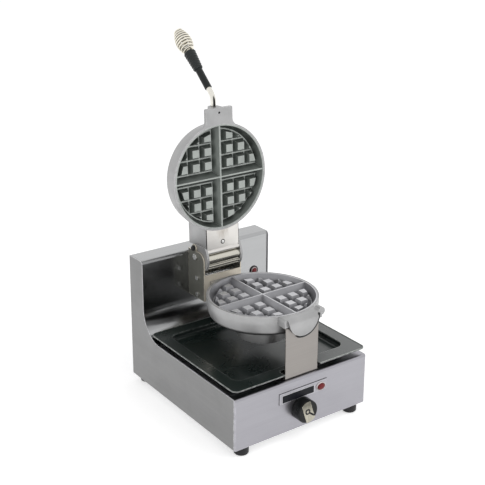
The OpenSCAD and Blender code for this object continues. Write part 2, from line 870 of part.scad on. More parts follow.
neck_screw_out = 28.6;
screw_y = arm - neck_screw_out;
neck_screw_l = 10;
head_cone_h = 2.4;
head_cone_r = 4.6;

// The neck screw's head lies flush in the cover, clear of the bracket when the lid is closed
module neck_screw_hole() {
    bar_z(-1, neck_screw_l + 1, 0, screw_y, screw_r + hole_play);
    translate([0, screw_y, -hole_play])
        cylinder(h = head_cone_h + hole_play, r1 = head_cone_r + hole_play, r2 = screw_r + hole_play);
}
barrel_hw = cheek_in;
tube_c = [24.9, -1.5];
tube_r = 9.6;
roll_r = 5;

module barrel_rod(c, r) slab_x(-barrel_hw, barrel_hw) about_pin() translate(c) circle(r);

// Tube across the front of the hinge, with two beads under it
module hinge_barrel() color([0.80, 0.78, 0.72]) at_lid() difference() {
    union() {
        barrel_rod(tube_c, tube_r);
        barrel_rod([31, -13], 2.6);
        barrel_rod([27, -18.3], 3);
        slab_x(-barrel_hw, barrel_hw) about_pin()
            polygon([[17, -4], [31, -8], [31.5, -12.5], [29.5, -16.5], [28, -19], [24, -18.5], [20, -13]]);
    }
    slab_x(-barrel_hw - 1, barrel_hw + 1) about_pin() translate(tube_c) circle(tube_r - 2.6);
}

// Plate over the neck, curved round the rim above and rolled over its lower edge
module neck_cover() color([0.88, 0.87, 0.85]) at_lid() difference() {
    union() {
        slab_z(0, cover_t) span(-barrel_hw, barrel_hw, casting_r - 20, arm - 13 - roll_r / 2);
        slab_x(-barrel_hw, barrel_hw) about_pin() difference() {
            translate([27.5, 13]) circle(roll_r);
            translate([27.5, 13]) circle(roll_r - cover_t);
        }
    }
    bar_z(-1, neck_depth, 0, 0, casting_r + slip);
    neck_screw_hole();
    slab_x(-neck_hw, neck_hw) span(0, neck_back + 0.01, cover_t, neck_depth);
}

module neck_screw() color(chrome) at_lid() translate([0, screw_y, 0]) difference() {
    union() {
        cylinder(h = neck_screw_l, r = screw_r);
        cylinder(h = head_cone_h, r1 = head_cone_r, r2 = screw_r);
    }
    for (a = [0, 90]) rotate([0, 0, a]) translate([-head_cone_r * 0.6, -0.5, -1])
        cube([head_cone_r * 1.2, 1, 2]);
}

module lid_leads() color([0.55, 0.42, 0.25]) at_lid()
    bar_y(casting_r - 30, neck_back - 0.5, lead_x, lead_z, lead_r);

module plate_outline() {
    span(web_y, tower_y, bracket_z, web_top);
    span(web_y, tower_y, web_top - 1, hinge_z - 8);
    round_span(web_y, tower_y, web_top - 20, hinge_z + 11, 17);
    span(web_y + 30, tower_y, web_top, hinge_z + 11);
    translate([hinge_y + stop_back, hinge_z + stop_up]) circle(stop_r + 3.4);
}

module at_side_bolts() {
    for (z = [web_top - 8.8, web_top - 41.8]) translate([0, hinge_y - 6.2, z]) children();
}

spacer_r = 3.6;

module at_tower_bolts() {
    for (s = [-1, 1], z = [web_top - 12, bracket_z + 10])
        translate([s * (bracket_hw - 10), 0, z]) children();
}

module hinge_bracket() color([0.66, 0.66, 0.62]) difference() {
    union() {
        slab_y(web_y, web_y + bracket_t) span(-bracket_hw, bracket_hw, bracket_z, web_top);
        both_sides() slab_x(bracket_hw - bracket_t, bracket_hw) plate_outline();
        both_sides() slab_y(tower_y - bracket_t, tower_y)
            span(bracket_hw - 20, bracket_hw - 1, bracket_z, web_top - 5);
    }
    bar_x(-body_w, body_w, hinge_y, hinge_z, pin_r + 0.02);
    bar_x(-body_w, body_w, hinge_y + stop_back, hinge_z + stop_up, stop_r + 0.02);
    at_side_bolts() bar_x(-body_w, body_w, 0, 0, screw_r + hole_play);
    at_tower_bolts() bar_y(tower_y - 5, tower_y + 1, 0, 0, screw_r + hole_play);
    at_lower() at_lug_bolts() bar_y(0, arm, 0, 0, screw_r + hole_play);
    bar_y(web_y - 1, web_y + 5, 0, rim_z - lead_z, lead_r + hole_play);
}

module bracket_spacers() color(chrome) at_side_bolts() difference() {
    bar_x(-bracket_hw + bracket_t, bracket_hw - bracket_t, 0, 0, spacer_r);
    bar_x(-bracket_hw, bracket_hw, 0, 0, screw_r);
}

module bracket_side_bolts() color(chrome) at_side_bolts() {
    translate([-bracket_hw, 0, 0]) rotate([0, 90, 0]) screw(2 * bracket_hw + 1, screw_r, 4.4, 2.4);
    difference() {
        bar_x(bracket_hw, bracket_hw + 3.4, 0, 0, 4.4);
        bar_x(bracket_hw - 1, bracket_hw + 5, 0, 0, screw_r);
    }
}

module bracket_tower_bolts() color(chrome) {
    at_tower_bolts() translate([0, tower_y - bracket_t, 0]) rotate([-90, 0, 0]) screw(9);
    at_lower() at_lug_bolts() translate([0, arm - web_out + bracket_t, 0])
        rotate([90, 0, 0]) screw(22);
}

module hinge_pin() color(chrome) {
    bar_x(-bracket_hw, bracket_hw + 4, hinge_y, hinge_z, pin_r);
    bar_x(-bracket_hw - 2.6, -bracket_hw, hinge_y, hinge_z, pin_r + 1);
}

module hinge_pin_clip() color(chrome) difference() {
    bar_x(bracket_hw + slip, bracket_hw + slip + 1.2, hinge_y, hinge_z, pin_r + 2.5);
    bar_x(bracket_hw, bracket_hw + 3, hinge_y, hinge_z, pin_r + 0.02);
    translate([bracket_hw, hinge_y - 2.5, hinge_z - pin_r - 4]) cube([3, 5, pin_r + 4]);
}

module lid_stop() color(black) {
    bar_x(-bracket_hw - 4, bracket_hw + 4, hinge_y + stop_back, hinge_z + stop_up, stop_r);
    both_sides() bar_x(bracket_hw, bracket_hw + 3, hinge_y + stop_back, hinge_z + stop_up, stop_r + 0.8);
}

// ---- Handle, in the lid ----

// Frame whose +Z runs along the handle from the end of its bend
module at_handle(s) {
    translate([0, tab_y - rod_run - handle_bend_r * sin(handle_bend),
        rod_lift + handle_bend_r * (1 - cos(handle_bend))])
        rotate([90 - handle_bend, 0, 0]) translate([0, 0, s]) children();
}

sleeve_end = sleeve_at + sleeve_len;
grip_end = sleeve_end + grip_len;
rod_socket = 20;

module handle_rod() color(chrome) at_lid() {
    bar_y(tab_y - rod_run, tab_y + rod_socket, 0, rod_lift, rod_d / 2);
    translate([0, tab_y - rod_run, rod_lift + handle_bend_r]) rotate([0, -90, 0]) rotate([0, 0, 180])
        rotate_extrude(angle = handle_bend) translate([handle_bend_r, 0]) circle(rod_d / 2);
    at_handle(0) cylinder(h = grip_end, r = rod_d / 2);
    at_handle(-0.4) cylinder(h = 0.8, r = rod_d / 2 + 0.05);
}

module handle_set_screw() color(black) at_lid() translate([0, tab_y + 9, 1.5])
    cylinder(h = rod_lift - rod_d / 2 - 1.5, r = 2);

module handle_sleeve() color(black) at_lid() at_handle(sleeve_at) difference() {
    cylinder(h = sleeve_len, r = sleeve_r);
    translate([0, 0, -1]) cylinder(h = sleeve_len + 2, r = rod_d / 2);
}

rib_count = 7;
rib_pitch = grip_len / rib_count;

module handle_grip() color(black) at_lid() at_handle(sleeve_end) difference() {
    union() {
        cylinder(h = grip_len, r1 = grip_r0 - 1, r2 = grip_r1 - 1);
        for (i = [0 : rib_count - 1]) translate([0, 0, i * rib_pitch]) rotate_extrude()
            translate([grip_r0 - 2.2 + (grip_r1 - grip_r0) * i / rib_count, rib_pitch / 2]) circle(2.3);
    }
    translate([0, 0, -1]) cylinder(h = grip_len + 2, r = rod_d / 2);
}

// Wire coil: its radius swells in the middle and closes towards the tip
coil_turns = 9;
coil_steps = 22;
wire_sides = 8;
wire_r = coil_wire / 2;
function coil_mid(t) = (coil_r - wire_r) * (0.56 + 0.44 * sin(190 * pow(t, 0.8) - 12))
    * (1 - 0.24 * pow(t, 5));
function coil_point(t, a) = [
    (coil_mid(t) + wire_r * cos(a)) * cos(360 * coil_turns * t),
    (coil_mid(t) + wire_r * cos(a)) * sin(360 * coil_turns * t),
    wire_r + (coil_len - coil_wire) * t + wire_r * sin(a)];

module handle_coil() color(chrome) at_lid() at_handle(grip_end) {
    n = coil_turns * coil_steps;
    polyhedron(
        [for (i = [0 : n], j = [0 : wire_sides - 1]) coil_point(i / n, 360 * j / wire_sides)],
        concat(
            [[for (j = [wire_sides - 1 : -1 : 0]) j]],
            [for (i = [0 : n - 1], j = [0 : wire_sides - 1]) [i * wire_sides + j,
                i * wire_sides + (j + 1) % wire_sides,
                (i + 1) * wire_sides + (j + 1) % wire_sides, (i + 1) * wire_sides + j]],
            [[for (j = [0 : wire_sides - 1]) n * wire_sides + j]]));
}

// ---- Front and tower fittings ----

module backing_plate() color(steel) difference() {
    slab_y(front_y - plate_t, front_y)
        round_span(-plate_w / 2, plate_w / 2, plate_z - plate_h / 2, plate_z + plate_h / 2, 1);
    bar_y(front_y - 2, front_y + 1, lamp_x, lamp_z, lamp_hole_r + hole_play);
}

module nameplate() color(black) slab_y(front_y - 2 * plate_t, front_y - plate_t)
    span(-plate_w / 2 + 6, lamp_x - 15.4, lamp_z - 6.7, lamp_z + 6.5);

// Lamp parts are drawn along -Y from the face that they sit on
module lamp_bezel() {
    rotate([90, 0, 0]) difference() {
        union() {
            cylinder(h = 1.4, r = lamp_d / 2);
            translate([0, 0, 1.4]) cylinder(h = 1.2, r1 = lamp_d / 2, r2 = lamp_d / 2 - 1.2);
        }
        translate([0, 0, -1]) cylinder(h = 5, r = lamp_hole_r);
    }
}

module lamp_lens() {
    rotate([90, 0, 0]) {
        translate([0, 0, -16]) cylinder(h = 18, r = lamp_hole_r);
        translate([0, 0, 2]) cylinder(h = 1.8, r1 = lamp_hole_r, r2 = lamp_hole_r - 2);
    }
}

module at_front_lamp() translate([lamp_x, front_y - plate_t, lamp_z]) children();

module at_tower_lamp() translate([tower_lamp_x, tower_y, tower_lamp_z]) children();

module front_lamp_bezel() color([0.9, 0.88, 0.86]) at_front_lamp() lamp_bezel();

module front_lamp_lens() color([0.7, 0.15, 0.15]) at_front_lamp() lamp_lens();

module tower_lamp_bezel() color(black) at_tower_lamp() lamp_bezel();

module tower_lamp_lens() color([0.7, 0.15, 0.15]) at_tower_lamp() lamp_lens();

insert_depth = 2.4;
insert_t = 1.4;

module knob() color(black) difference() {
    union() {
        bar_y(knob_face + 1.5, knob_back, knob_x, knob_z, knob_d / 2);
        translate([knob_x, knob_face + 1.5, knob_z]) rotate([90, 0, 0])
            cylinder(h = 1.5, r1 = knob_d / 2, r2 = knob_d / 2 - 1.5);
    }
    slab_y(knob_face - 1, knob_face + insert_depth)
        span(knob_x - insert_w / 2, knob_x + insert_w / 2, knob_z - knob_d, knob_z + knob_d);
    bar_y(knob_back - nut_t - 1.5, knob_back + 1, knob_x, knob_z, 11);
    bar_y(knob_face + 5, knob_back + 1, knob_x, knob_z, shaft_r);
}

module knob_insert() color([0.85, 0.83, 0.78])
    slab_y(knob_face + insert_depth - insert_t, knob_face + insert_depth) intersection() {
        translate([knob_x, knob_z]) circle(knob_d / 2 - 0.8);
        span(knob_x - insert_w / 2 + 0.2, knob_x + insert_w / 2 - 0.2, knob_z - knob_d, knob_z + knob_d);
    }

module knob_pointer() color(black)
    slab_y(knob_face + insert_depth - insert_t - 0.8, knob_face + insert_depth - insert_t)
    translate([knob_x, knob_z]) difference() {
        union() {
            circle(3.4);
            rotate(-55) span(0, 11, -1, 1);
        }
        circle(1.6);
    }

module thermostat() color([0.55, 0.56, 0.58]) difference() {
    union() {
        slab_y(front_y + sheet_t, front_y + sheet_t + 34)
            round_span(knob_x - 24, knob_x + 24, knob_z - 20, knob_z + 20, 3);
        bar_y(front_y - nut_t - 0.5, front_y + sheet_t + 2, knob_x, knob_z, 5);
    }
    bar_y(front_y - 5, front_y + 20, knob_x, knob_z, shaft_r + 0.05);
}

module thermostat_shaft() color(chrome) bar_y(knob_face + 5, front_y + 19.5, knob_x, knob_z, shaft_r);

module thermostat_nut() color(chrome) translate([knob_x, front_y, knob_z]) rotate([90, 0, 0]) difference() {
    cylinder(h = nut_t, r = 8.4, $fn = 6);
    translate([0, 0, -1]) cylinder(h = nut_t + 2, r = 5);
}

// Tube that carries the grid's temperature from the bulb, down the strap, to the thermostat
bulb_y = grid_y - 20;
module capillary_bulb() color([0.72, 0.45, 0.28]) {
    rise_y = strap_screw_y;
    bend_z = rim_z + capillary_z;
    bar_x(-28, 28, bulb_y, bend_z + 3.4, 2.4);
    bar_z(bend_z, bend_z + 2, 0, bulb_y, 0.9);
    bar_y(rise_y, bulb_y, 0, bend_z, 0.9);
    bar_z(knob_z + 24, bend_z, 0, rise_y, 0.9);
    translate([0, rise_y, bend_z]) sphere(0.9);
    translate([0, bulb_y, bend_z]) sphere(0.9);
    translate([0, rise_y, knob_z + 24]) sphere(0.9);
    bar_y(rise_y, front_y + 20, 0, knob_z + 24, 0.9);
    bar_z(knob_z + 20, knob_z + 24, 0, front_y + 20, 0.9);
    translate([0, front_y + 20, knob_z + 24]) sphere(0.9);
}

block_x = inner_w - 60;
block_y = back_y - 70;
block_z = foot_h + sheet_t;

module terminal_block() color([0.9, 0.88, 0.82]) difference() {
    slab_z(block_z, block_z + 22) span(block_x - 22, block_x + 22, block_y - 12, block_y + 12);
    for (i = [-1 : 1]) bar_z(block_z + 14, block_z + 30, block_x + i * 13, block_y, 3);
}

// Two wires to the thermostat, one up the tower, and the conduit from the tower to the lower casting
module base_wires() color([0.25, 0.25, 0.27]) {
    wire_z = block_z + 9;
    wire_r0 = 1.6;
    wire_end = front_y + sheet_t + 34;
    for (i = [0, 1]) {
        x = knob_x + 6 + 8 * i;
        y = block_y - 4 + 8 * i;
        bar_x(x, block_x - 22, y, wire_z, wire_r0);
        translate([x, y, wire_z]) sphere(wire_r0);
        bar_y(wire_end + 1.6, y, x, wire_z, wire_r0);
        translate([x, wire_end + 1.6, wire_z]) sphere(wire_r0);
        bar_z(wire_z, knob_z, x, wire_end + 1.6, wire_r0);
    }
    bar_y(block_y + 12, tower_y + 14, block_x, wire_z, wire_r0);
    translate([block_x, tower_y + 14, wire_z]) sphere(wire_r0);
    bar_z(wire_z, rim_z - lead_z, block_x, tower_y + 14, wire_r0);
    translate([block_x, tower_y + 14, rim_z - lead_z]) sphere(wire_r0);
    bar_x(0, block_x, tower_y + 14, rim_z - lead_z, wire_r0);
    bar_y(grid_y + casting_r - 19, tower_y + 16, 0, rim_z - lead_z, lead_r);
}

module cord_gland() color(black) difference() {
    union() {
        bar_y(back_y, back_y + 5, gland_x, gland_z, gland_r + 3);
        bar_y(back_y - sheet_t - 8, back_y + 2, gland_x, gland_z, gland_r);
        bar_y(back_y + 5, back_y + 12, gland_x, gland_z, gland_r - 1.5);
    }
    bar_y(back_y - 20, back_y + 20, gland_x, gland_z, 4.2);
}

left_side_panel();
right_side_panel();
front_panel();
deck_plate();
tower_front_sheet();
rear_cover();
rear_cover_screws();
bottom_pan();
feet();
foot_screws();
drip_tray();
front_strap();
strap_screws();
hinge_bracket();
bracket_spacers();
bracket_side_bolts();
bracket_tower_bolts();
hinge_pin();
hinge_pin_clip();
lid_stop();
lower_housing();
lower_grid();
lower_grid_screws();
lower_element();
lower_insulation();
lower_cover();
lower_cover_screws();
upper_housing();
upper_grid();
upper_grid_screws();
upper_element();
upper_insulation();
upper_cover();
upper_cover_screws();
lid_neck();
hinge_barrel();
neck_cover();
neck_screw();
lid_leads();
handle_rod();
handle_set_screw();
handle_sleeve();
handle_grip();
handle_coil();
backing_plate();
nameplate();
front_lamp_bezel();
front_lamp_lens();
tower_lamp_bezel();
tower_lamp_lens();
knob();
knob_insert();
knob_pointer();
thermostat();
thermostat_shaft();
thermostat_nut();
capillary_bulb();
terminal_block();
base_wires();
cord_gland();
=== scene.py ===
"""Round waffle maker: finishes, fine pieces and a plain studio, built round its fixed frame."""

import json
import math
from contextlib import contextmanager

import bpy
from bpy.props import FloatProperty, FloatVectorProperty, PointerProperty
from mathutils import Matrix, Vector

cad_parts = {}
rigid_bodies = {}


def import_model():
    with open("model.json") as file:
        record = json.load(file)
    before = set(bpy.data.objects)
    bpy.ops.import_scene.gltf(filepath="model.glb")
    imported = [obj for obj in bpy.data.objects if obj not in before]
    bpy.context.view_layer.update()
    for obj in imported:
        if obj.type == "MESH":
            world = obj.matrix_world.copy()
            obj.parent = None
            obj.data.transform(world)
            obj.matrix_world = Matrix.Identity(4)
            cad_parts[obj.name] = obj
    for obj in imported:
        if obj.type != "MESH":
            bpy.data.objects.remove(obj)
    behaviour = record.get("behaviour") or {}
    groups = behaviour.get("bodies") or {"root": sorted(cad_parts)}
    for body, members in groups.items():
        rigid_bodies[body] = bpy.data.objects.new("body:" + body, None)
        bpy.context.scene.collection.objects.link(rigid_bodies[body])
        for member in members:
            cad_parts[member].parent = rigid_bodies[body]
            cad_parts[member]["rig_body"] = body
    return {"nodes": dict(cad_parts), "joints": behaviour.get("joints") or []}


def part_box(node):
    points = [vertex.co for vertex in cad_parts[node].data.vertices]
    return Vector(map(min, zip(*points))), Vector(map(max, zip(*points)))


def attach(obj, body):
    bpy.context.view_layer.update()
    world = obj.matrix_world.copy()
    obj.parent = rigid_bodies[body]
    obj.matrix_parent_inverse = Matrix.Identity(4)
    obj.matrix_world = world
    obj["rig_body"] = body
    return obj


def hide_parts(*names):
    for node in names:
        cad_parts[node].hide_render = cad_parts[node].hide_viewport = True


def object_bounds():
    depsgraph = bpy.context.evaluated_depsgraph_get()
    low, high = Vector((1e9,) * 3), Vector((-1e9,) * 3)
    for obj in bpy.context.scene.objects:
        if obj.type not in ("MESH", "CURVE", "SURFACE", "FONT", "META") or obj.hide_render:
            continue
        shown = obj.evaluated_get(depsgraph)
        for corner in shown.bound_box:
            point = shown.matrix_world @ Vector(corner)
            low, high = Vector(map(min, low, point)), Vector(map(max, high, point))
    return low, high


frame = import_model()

bl_info = {
    "name": "Round Waffle Maker",
    "version": (1, 0, 0),
    "blender": (4, 5, 0),
    "location": "View3D > Sidebar > Waffle Maker",
    "description": "Finishes and fine pieces of a round waffle maker with a tray and a hinged lid",
    "category": "Object",
}

CAD_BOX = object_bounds()
MM = 0.001


# ---- Sizes and colours that can be changed ----

def length(name, text, default):
    """Property for a length in metres."""
    return FloatProperty(name=name, description=text, default=default, min=0.0, unit="LENGTH")


def colour(name, text, default):
    """Property for a colour in linear light."""
    return FloatVectorProperty(name=name, description=text, default=default, subtype="COLOR", min=0, max=1)


class WaffleSizes(bpy.types.PropertyGroup):
    """Sizes of the rounded edges and of the fine pieces."""

    sheet_edge: length("Sheet edge", "Rounding of the sheet metal's edges", 0.0005)
    cast_edge: length("Cast edge", "Rounding of the castings' edges", 0.0010)
    peg_edge: length("Peg edge", "Rounding of the grid's pegs", 0.0006)
    small_edge: length("Small edge", "Rounding of screws and small fittings", 0.0003)
    tray_bead: length("Tray bead", "Height of the bead round the tray's rim", 0.0007)
    tray_lip: length("Tray lip", "Rounding of the well's mouth", 0.0032)
    tray_round: length("Tray rounding", "Radius where the tray's well meets its floor", 0.0055)
    border: length("Nameplate border", "Width of the pale border round the nameplate", 0.0012)
    # Width of the dark pieces that paint shadow lines beside the neck cover and round the backing plate.
    seam: length("Seam", "Width of the dark seams and gaskets", 0.0009)
    lens_width: length("Lens width", "Width of the front lamp's lens", 0.0168)
    lens_height: length("Lens height", "Height of the front lamp's lens", 0.0118)
    knob_turn: FloatProperty(
        name="Knob turn", description="Turn of the knob's insert from upright", subtype="ANGLE",
        default=math.radians(18))


class WaffleColours(bpy.types.PropertyGroup):
    """Colours of the finishes."""

    panel: colour("Front panel", "Brushed steel of the base's front and back", (0.385, 0.380, 0.410))
    # Darker than the same steel on the front: painted shade on the sides.
    side: colour("Side panels", "Brushed steel of the base's sides", (0.245, 0.245, 0.246))
    tower: colour("Tower front", "Brushed steel between the tower's sides", (0.42, 0.425, 0.43))
    casting: colour("Castings", "Satin cast aluminium", (0.42, 0.42, 0.422))
    # The grids' flat faces are lighter and their sloped sides darker, as painted light and shade.
    lower_grid: colour("Lower grid", "Cast grid of the base", (0.31, 0.31, 0.325))
    lower_top: colour("Lower grid's tops", "Worn ribs and pegs of the lower grid", (0.60, 0.60, 0.62))
    upper_grid: colour("Upper grid", "Seasoned sides of the lid's pegs", (0.22, 0.24, 0.225))
    peg_top: colour("Peg tops", "Worn tops and floors of the lid's grid", (0.37, 0.395, 0.375))
    tray: colour("Tray", "Dark coat of the drip tray", (0.010, 0.017, 0.015))
    strap: colour("Strap", "Warm brushed steel of the front strap", (0.315, 0.296, 0.280))
    # Darker than the bracket's front: painted shade on its sides.
    bracket: colour("Bracket", "Sheet steel of the hinge bracket's sides", (0.20, 0.20, 0.175))
    web: colour("Bracket web", "Bare steel of the bracket's front", (0.85, 0.78, 0.66))
    barrel: colour("Barrel", "Polished steel across the hinge", (0.62, 0.60, 0.53))
    cover: colour("Neck cover", "Light satin steel over the lid's neck", (0.72, 0.70, 0.67))
    rubber: colour("Rubber", "Feet, stops and gland", (0.010, 0.010, 0.011))
    sleeve: colour("Handle sleeve", "Black vinyl of the handle", (0.012, 0.015, 0.015))
    chrome: colour("Chrome", "Handle rod, coil and screws", (0.66, 0.63, 0.55))
    lamp: colour("Lamp", "Red lens", (0.33, 0.018, 0.024))


class WaffleStage(bpy.types.PropertyGroup):
    """Floor, light and camera."""

    floor: colour("Floor", "Plain pale floor", (0.80, 0.80, 0.80))
    floor_white: FloatProperty(
        name="Floor white", description="Light that the eye sees added to the floor", default=0.55)
    key_power: FloatProperty(name="Key light", description="Power of the large light", default=36.0, min=0)
    fill_power: FloatProperty(name="Fill light", description="Power of the side light", default=8.0, min=0)
    sky: FloatProperty(name="Sky light", description="Strength of the light from all round", default=0.55)
    view_from: FloatVectorProperty(
        name="Camera place", description="Camera from the base's centre on the floor",
        default=(-0.9675, -1.3279, 0.9274), unit="LENGTH")
    azimuth: FloatProperty(name="Azimuth", description="Turn of the camera", default=-35.17)
    elevation: FloatProperty(name="Elevation", description="Downward tilt of the camera", default=18.02)
    lens: FloatProperty(name="Lens", description="Focal length in millimetres", default=73.61)
    shift: FloatVectorProperty(name="Shift", description="Camera shift", size=2, default=(0.0240, -0.1016))


# ---- Shader trees, and the groups that several finishes share ----

class Nodes:
    """A shader tree, with the ways that nodes are added to it and joined."""

    # Numbers of a Mix node's two colours and of its result
    mix_first, mix_second, mix_result = 6, 7, 2

    def __init__(self, tree):
        self.tree = tree

    def fill(self, socket, value):
        """Joins a socket to another one, or sets its value."""
        if isinstance(value, bpy.types.NodeSocket):
            self.tree.links.new(value, socket)
        elif socket.type == "RGBA":
            socket.default_value = (*value[:3], 1.0)
        else:
            socket.default_value = value

    def add(self, kind, inputs=None, **settings):
        """Adds a shader node, gives it its settings and fills its sockets."""
        made = self.tree.nodes.new("ShaderNode" + kind)
        for name, value in settings.items():
            setattr(made, name, value)
        for key, value in (inputs or {}).items():
            self.fill(made.inputs[key], value)
        return made

    def maths(self, operation, a, b=0.0, clamp=False):
        """Result of a Math node on two sockets or numbers."""
        return self.add("Math", {0: a, 1: b}, operation=operation, use_clamp=clamp).outputs[0]

    def times(self, a, b):
        """Product of two sockets or numbers."""
        return self.maths("MULTIPLY", a, b)

    def vectors(self, operation, a, b, output="Vector"):
        """Result of a Vector Math node on two vectors."""
        return self.add("VectorMath", {0: a, 1: b}, operation=operation).outputs[output]

    def remap(self, value, low, high, to_low=0.0, to_high=1.0, **settings):
        """Value carried from one range to another, and held inside it."""
        sockets = {"Value": value, "From Min": low, "From Max": high, "To Min": to_low, "To Max": to_high}
        return self.add("MapRange", sockets, **settings).outputs["Result"]

    def blend(self, mask, first, second):
        """Colour that goes from the first to the second as the mask goes from 0 to 1."""
        sockets = {"Factor": mask, self.mix_first: first, self.mix_second: second}
        return self.add("Mix", sockets, data_type="RGBA").outputs[self.mix_result]

    def toned(self, base, tone):
        """A colour made lighter or darker by a tone near 1."""
        grey = self.add("CombineColor", {"Red": tone, "Green": tone, "Blue": tone}).outputs[0]
        sockets = {"Factor": 1.0, self.mix_first: base, self.mix_second: grey}
        made = self.add("Mix", sockets, data_type="RGBA", blend_type="MULTIPLY")
        return made.outputs[self.mix_result]

    def noise(self, place, scale, detail, roughness=0.5, distortion=0.0):
        """Noise read at a place."""
        sockets = {"Vector": place, "Scale": scale, "Detail": detail, "Roughness": roughness,
                   "Distortion": distortion}
        return self.add("TexNoise", sockets).outputs["Fac"]

    def stretched_noise(self, place, stretch, detail, distortion=0.0):
        """Noise read at a place that is stretched by a vector."""
        return self.noise(self.vectors("MULTIPLY", place, stretch), 1.0, detail, 0.55, distortion)

    def own_normal(self):
        """The surface's normal in the piece's own space."""
        return self.add("TexCoord").outputs["Normal"]

    def part(self, vector, axis):
        """One of a vector's three parts."""
        return self.add("SeparateXYZ", {0: vector}).outputs[axis]

    def use(self, group, **inputs):
        """Places a shared group and fills its sockets; words in a socket's name are joined by _."""
        placed = self.add("Group", node_tree=bpy.data.node_groups[group])
        for key, value in inputs.items():
            self.fill(placed.inputs[key.replace("_", " ")], value)
        return placed.outputs


class Effect(Nodes):
    """A shared shader group while it is made, with named sockets."""

    def __init__(self, name, inputs, outputs):
        super().__init__(bpy.data.node_groups.new(name, "ShaderNodeTree"))
        for label, kind in inputs.items():
            self.tree.interface.new_socket(label, in_out="INPUT", socket_type="NodeSocket" + kind)
        for label in outputs:
            self.tree.interface.new_socket(label, in_out="OUTPUT", socket_type="NodeSocketFloat")
        self.given = self.tree.nodes.new("NodeGroupInput").outputs
        self.result = self.tree.nodes.new("NodeGroupOutput").inputs

    def answer(self, **values):
        """Joins what the group gives out."""
        for label, value in values.items():
            self.fill(self.result[label], value)


def make_brushed_grain():
    """Fine parallel streaks with broad bands of tone."""
    group = Effect("Brushed Grain", {"Place": "Vector", "Stretch": "Vector", "Contrast": "Float"},
                   ["Tone", "Height"])
    place, stretch, contrast = group.given[:3]
    broad_stretch = group.vectors("MULTIPLY", stretch, (0.06, 0.06, 0.06))
    fine = group.stretched_noise(place, stretch, detail=3.0)
    broad = group.stretched_noise(place, broad_stretch, detail=2.0)
    mixed = group.maths("ADD", group.times(fine, 0.6), group.times(broad, 0.4))
    swing = group.times(group.maths("SUBTRACT", mixed, 0.5), contrast)
    group.answer(Tone=group.maths("ADD", swing, 1.0), Height=fine)


def make_cast_grain():
    """Grain of a sand-blasted casting, with a few pits."""
    group = Effect("Cast Grain", {"Place": "Vector", "Grains per Metre": "Float"}, ["Tone", "Height"])
    place, fineness = group.given[:2]
    fine = group.noise(place, fineness, detail=4.0, roughness=0.65)
    pits = group.add("TexVoronoi", {"Vector": place, "Scale": group.times(fineness, 0.22), "Randomness": 1.0})
    hollow = group.remap(pits.outputs["Distance"], 0.05, 0.30)
    cloud = group.noise(place, scale=34.0, detail=3.0)
    height = group.maths("ADD", group.times(fine, 0.75), group.times(hollow, 0.25))
    blotch = group.remap(cloud, 0.3, 0.7, -0.07, 0.07)
    tone = group.maths("ADD", blotch, group.remap(fine, 0.3, 0.7, 0.94, 1.06))
    group.answer(Tone=tone, Height=height)


def make_worn_and_highlit_edges():
    """Mask that is 1 along rounded and sharp edges and 0 on flat faces, where edges are lightened as wear and
    painted highlight.
    """
    group = Effect("Worn and Highlit Edges", {"Radius": "Float", "Place": "Vector"}, ["Mask"])
    soft = group.add("Bevel", {"Radius": group.given["Radius"]}, samples=4).outputs["Normal"]
    flat = group.add("NewGeometry").outputs["Normal"]
    edge = group.remap(group.vectors("DOT_PRODUCT", soft, flat, "Value"), 0.985, 0.86)
    patchy = group.noise(group.given["Place"], scale=160.0, detail=3.0)
    group.answer(Mask=group.maths("MULTIPLY", edge, group.remap(patchy, 0.35, 0.6), clamp=True))


def make_handling_marks():
    """Soft smudges and wiped streaks for roughness."""
    group = Effect("Handling Marks", {"Place": "Vector", "Scale": "Float"}, ["Mask"])
    place, scale = group.given[:2]
    cloud = group.noise(place, scale, detail=5.0, roughness=0.6, distortion=0.8)
    group.answer(Mask=group.remap(cloud, 0.38, 0.66))


def make_recess_shade():
    """Mask that is 1 deep in grooves and corners, where painted shade goes."""
    group = Effect("Recess Shade", {"Distance": "Float"}, ["Mask"])
    open_sky = group.add("AmbientOcclusion", {"Distance": group.given["Distance"]}, samples=6).outputs["AO"]
    group.answer(Mask=group.remap(open_sky, 0.95, 0.30))


def make_painted_facing_shade():
    """Painted shade: a tone that falls where the surface turns away from a direction of its own."""
    inputs = {"Direction": "Vector", "Dark at": "Float", "Light at": "Float", "Dark Tone": "Float"}
    group = Effect("Painted Facing Shade", inputs, ["Tone"])
    direction, dark_at, light_at, dark_tone = group.given[:4]
    facing = group.vectors("DOT_PRODUCT", group.own_normal(), direction, "Value")
    group.answer(Tone=group.remap(facing, dark_at, light_at, dark_tone, interpolation_type="SMOOTHSTEP"))


def make_effects():
    """Builds the shared shader groups."""
    make_painted_facing_shade()
    make_brushed_grain()
    make_cast_grain()
    make_worn_and_highlit_edges()
    make_handling_marks()
    make_recess_shade()


# ---- Finishes ----

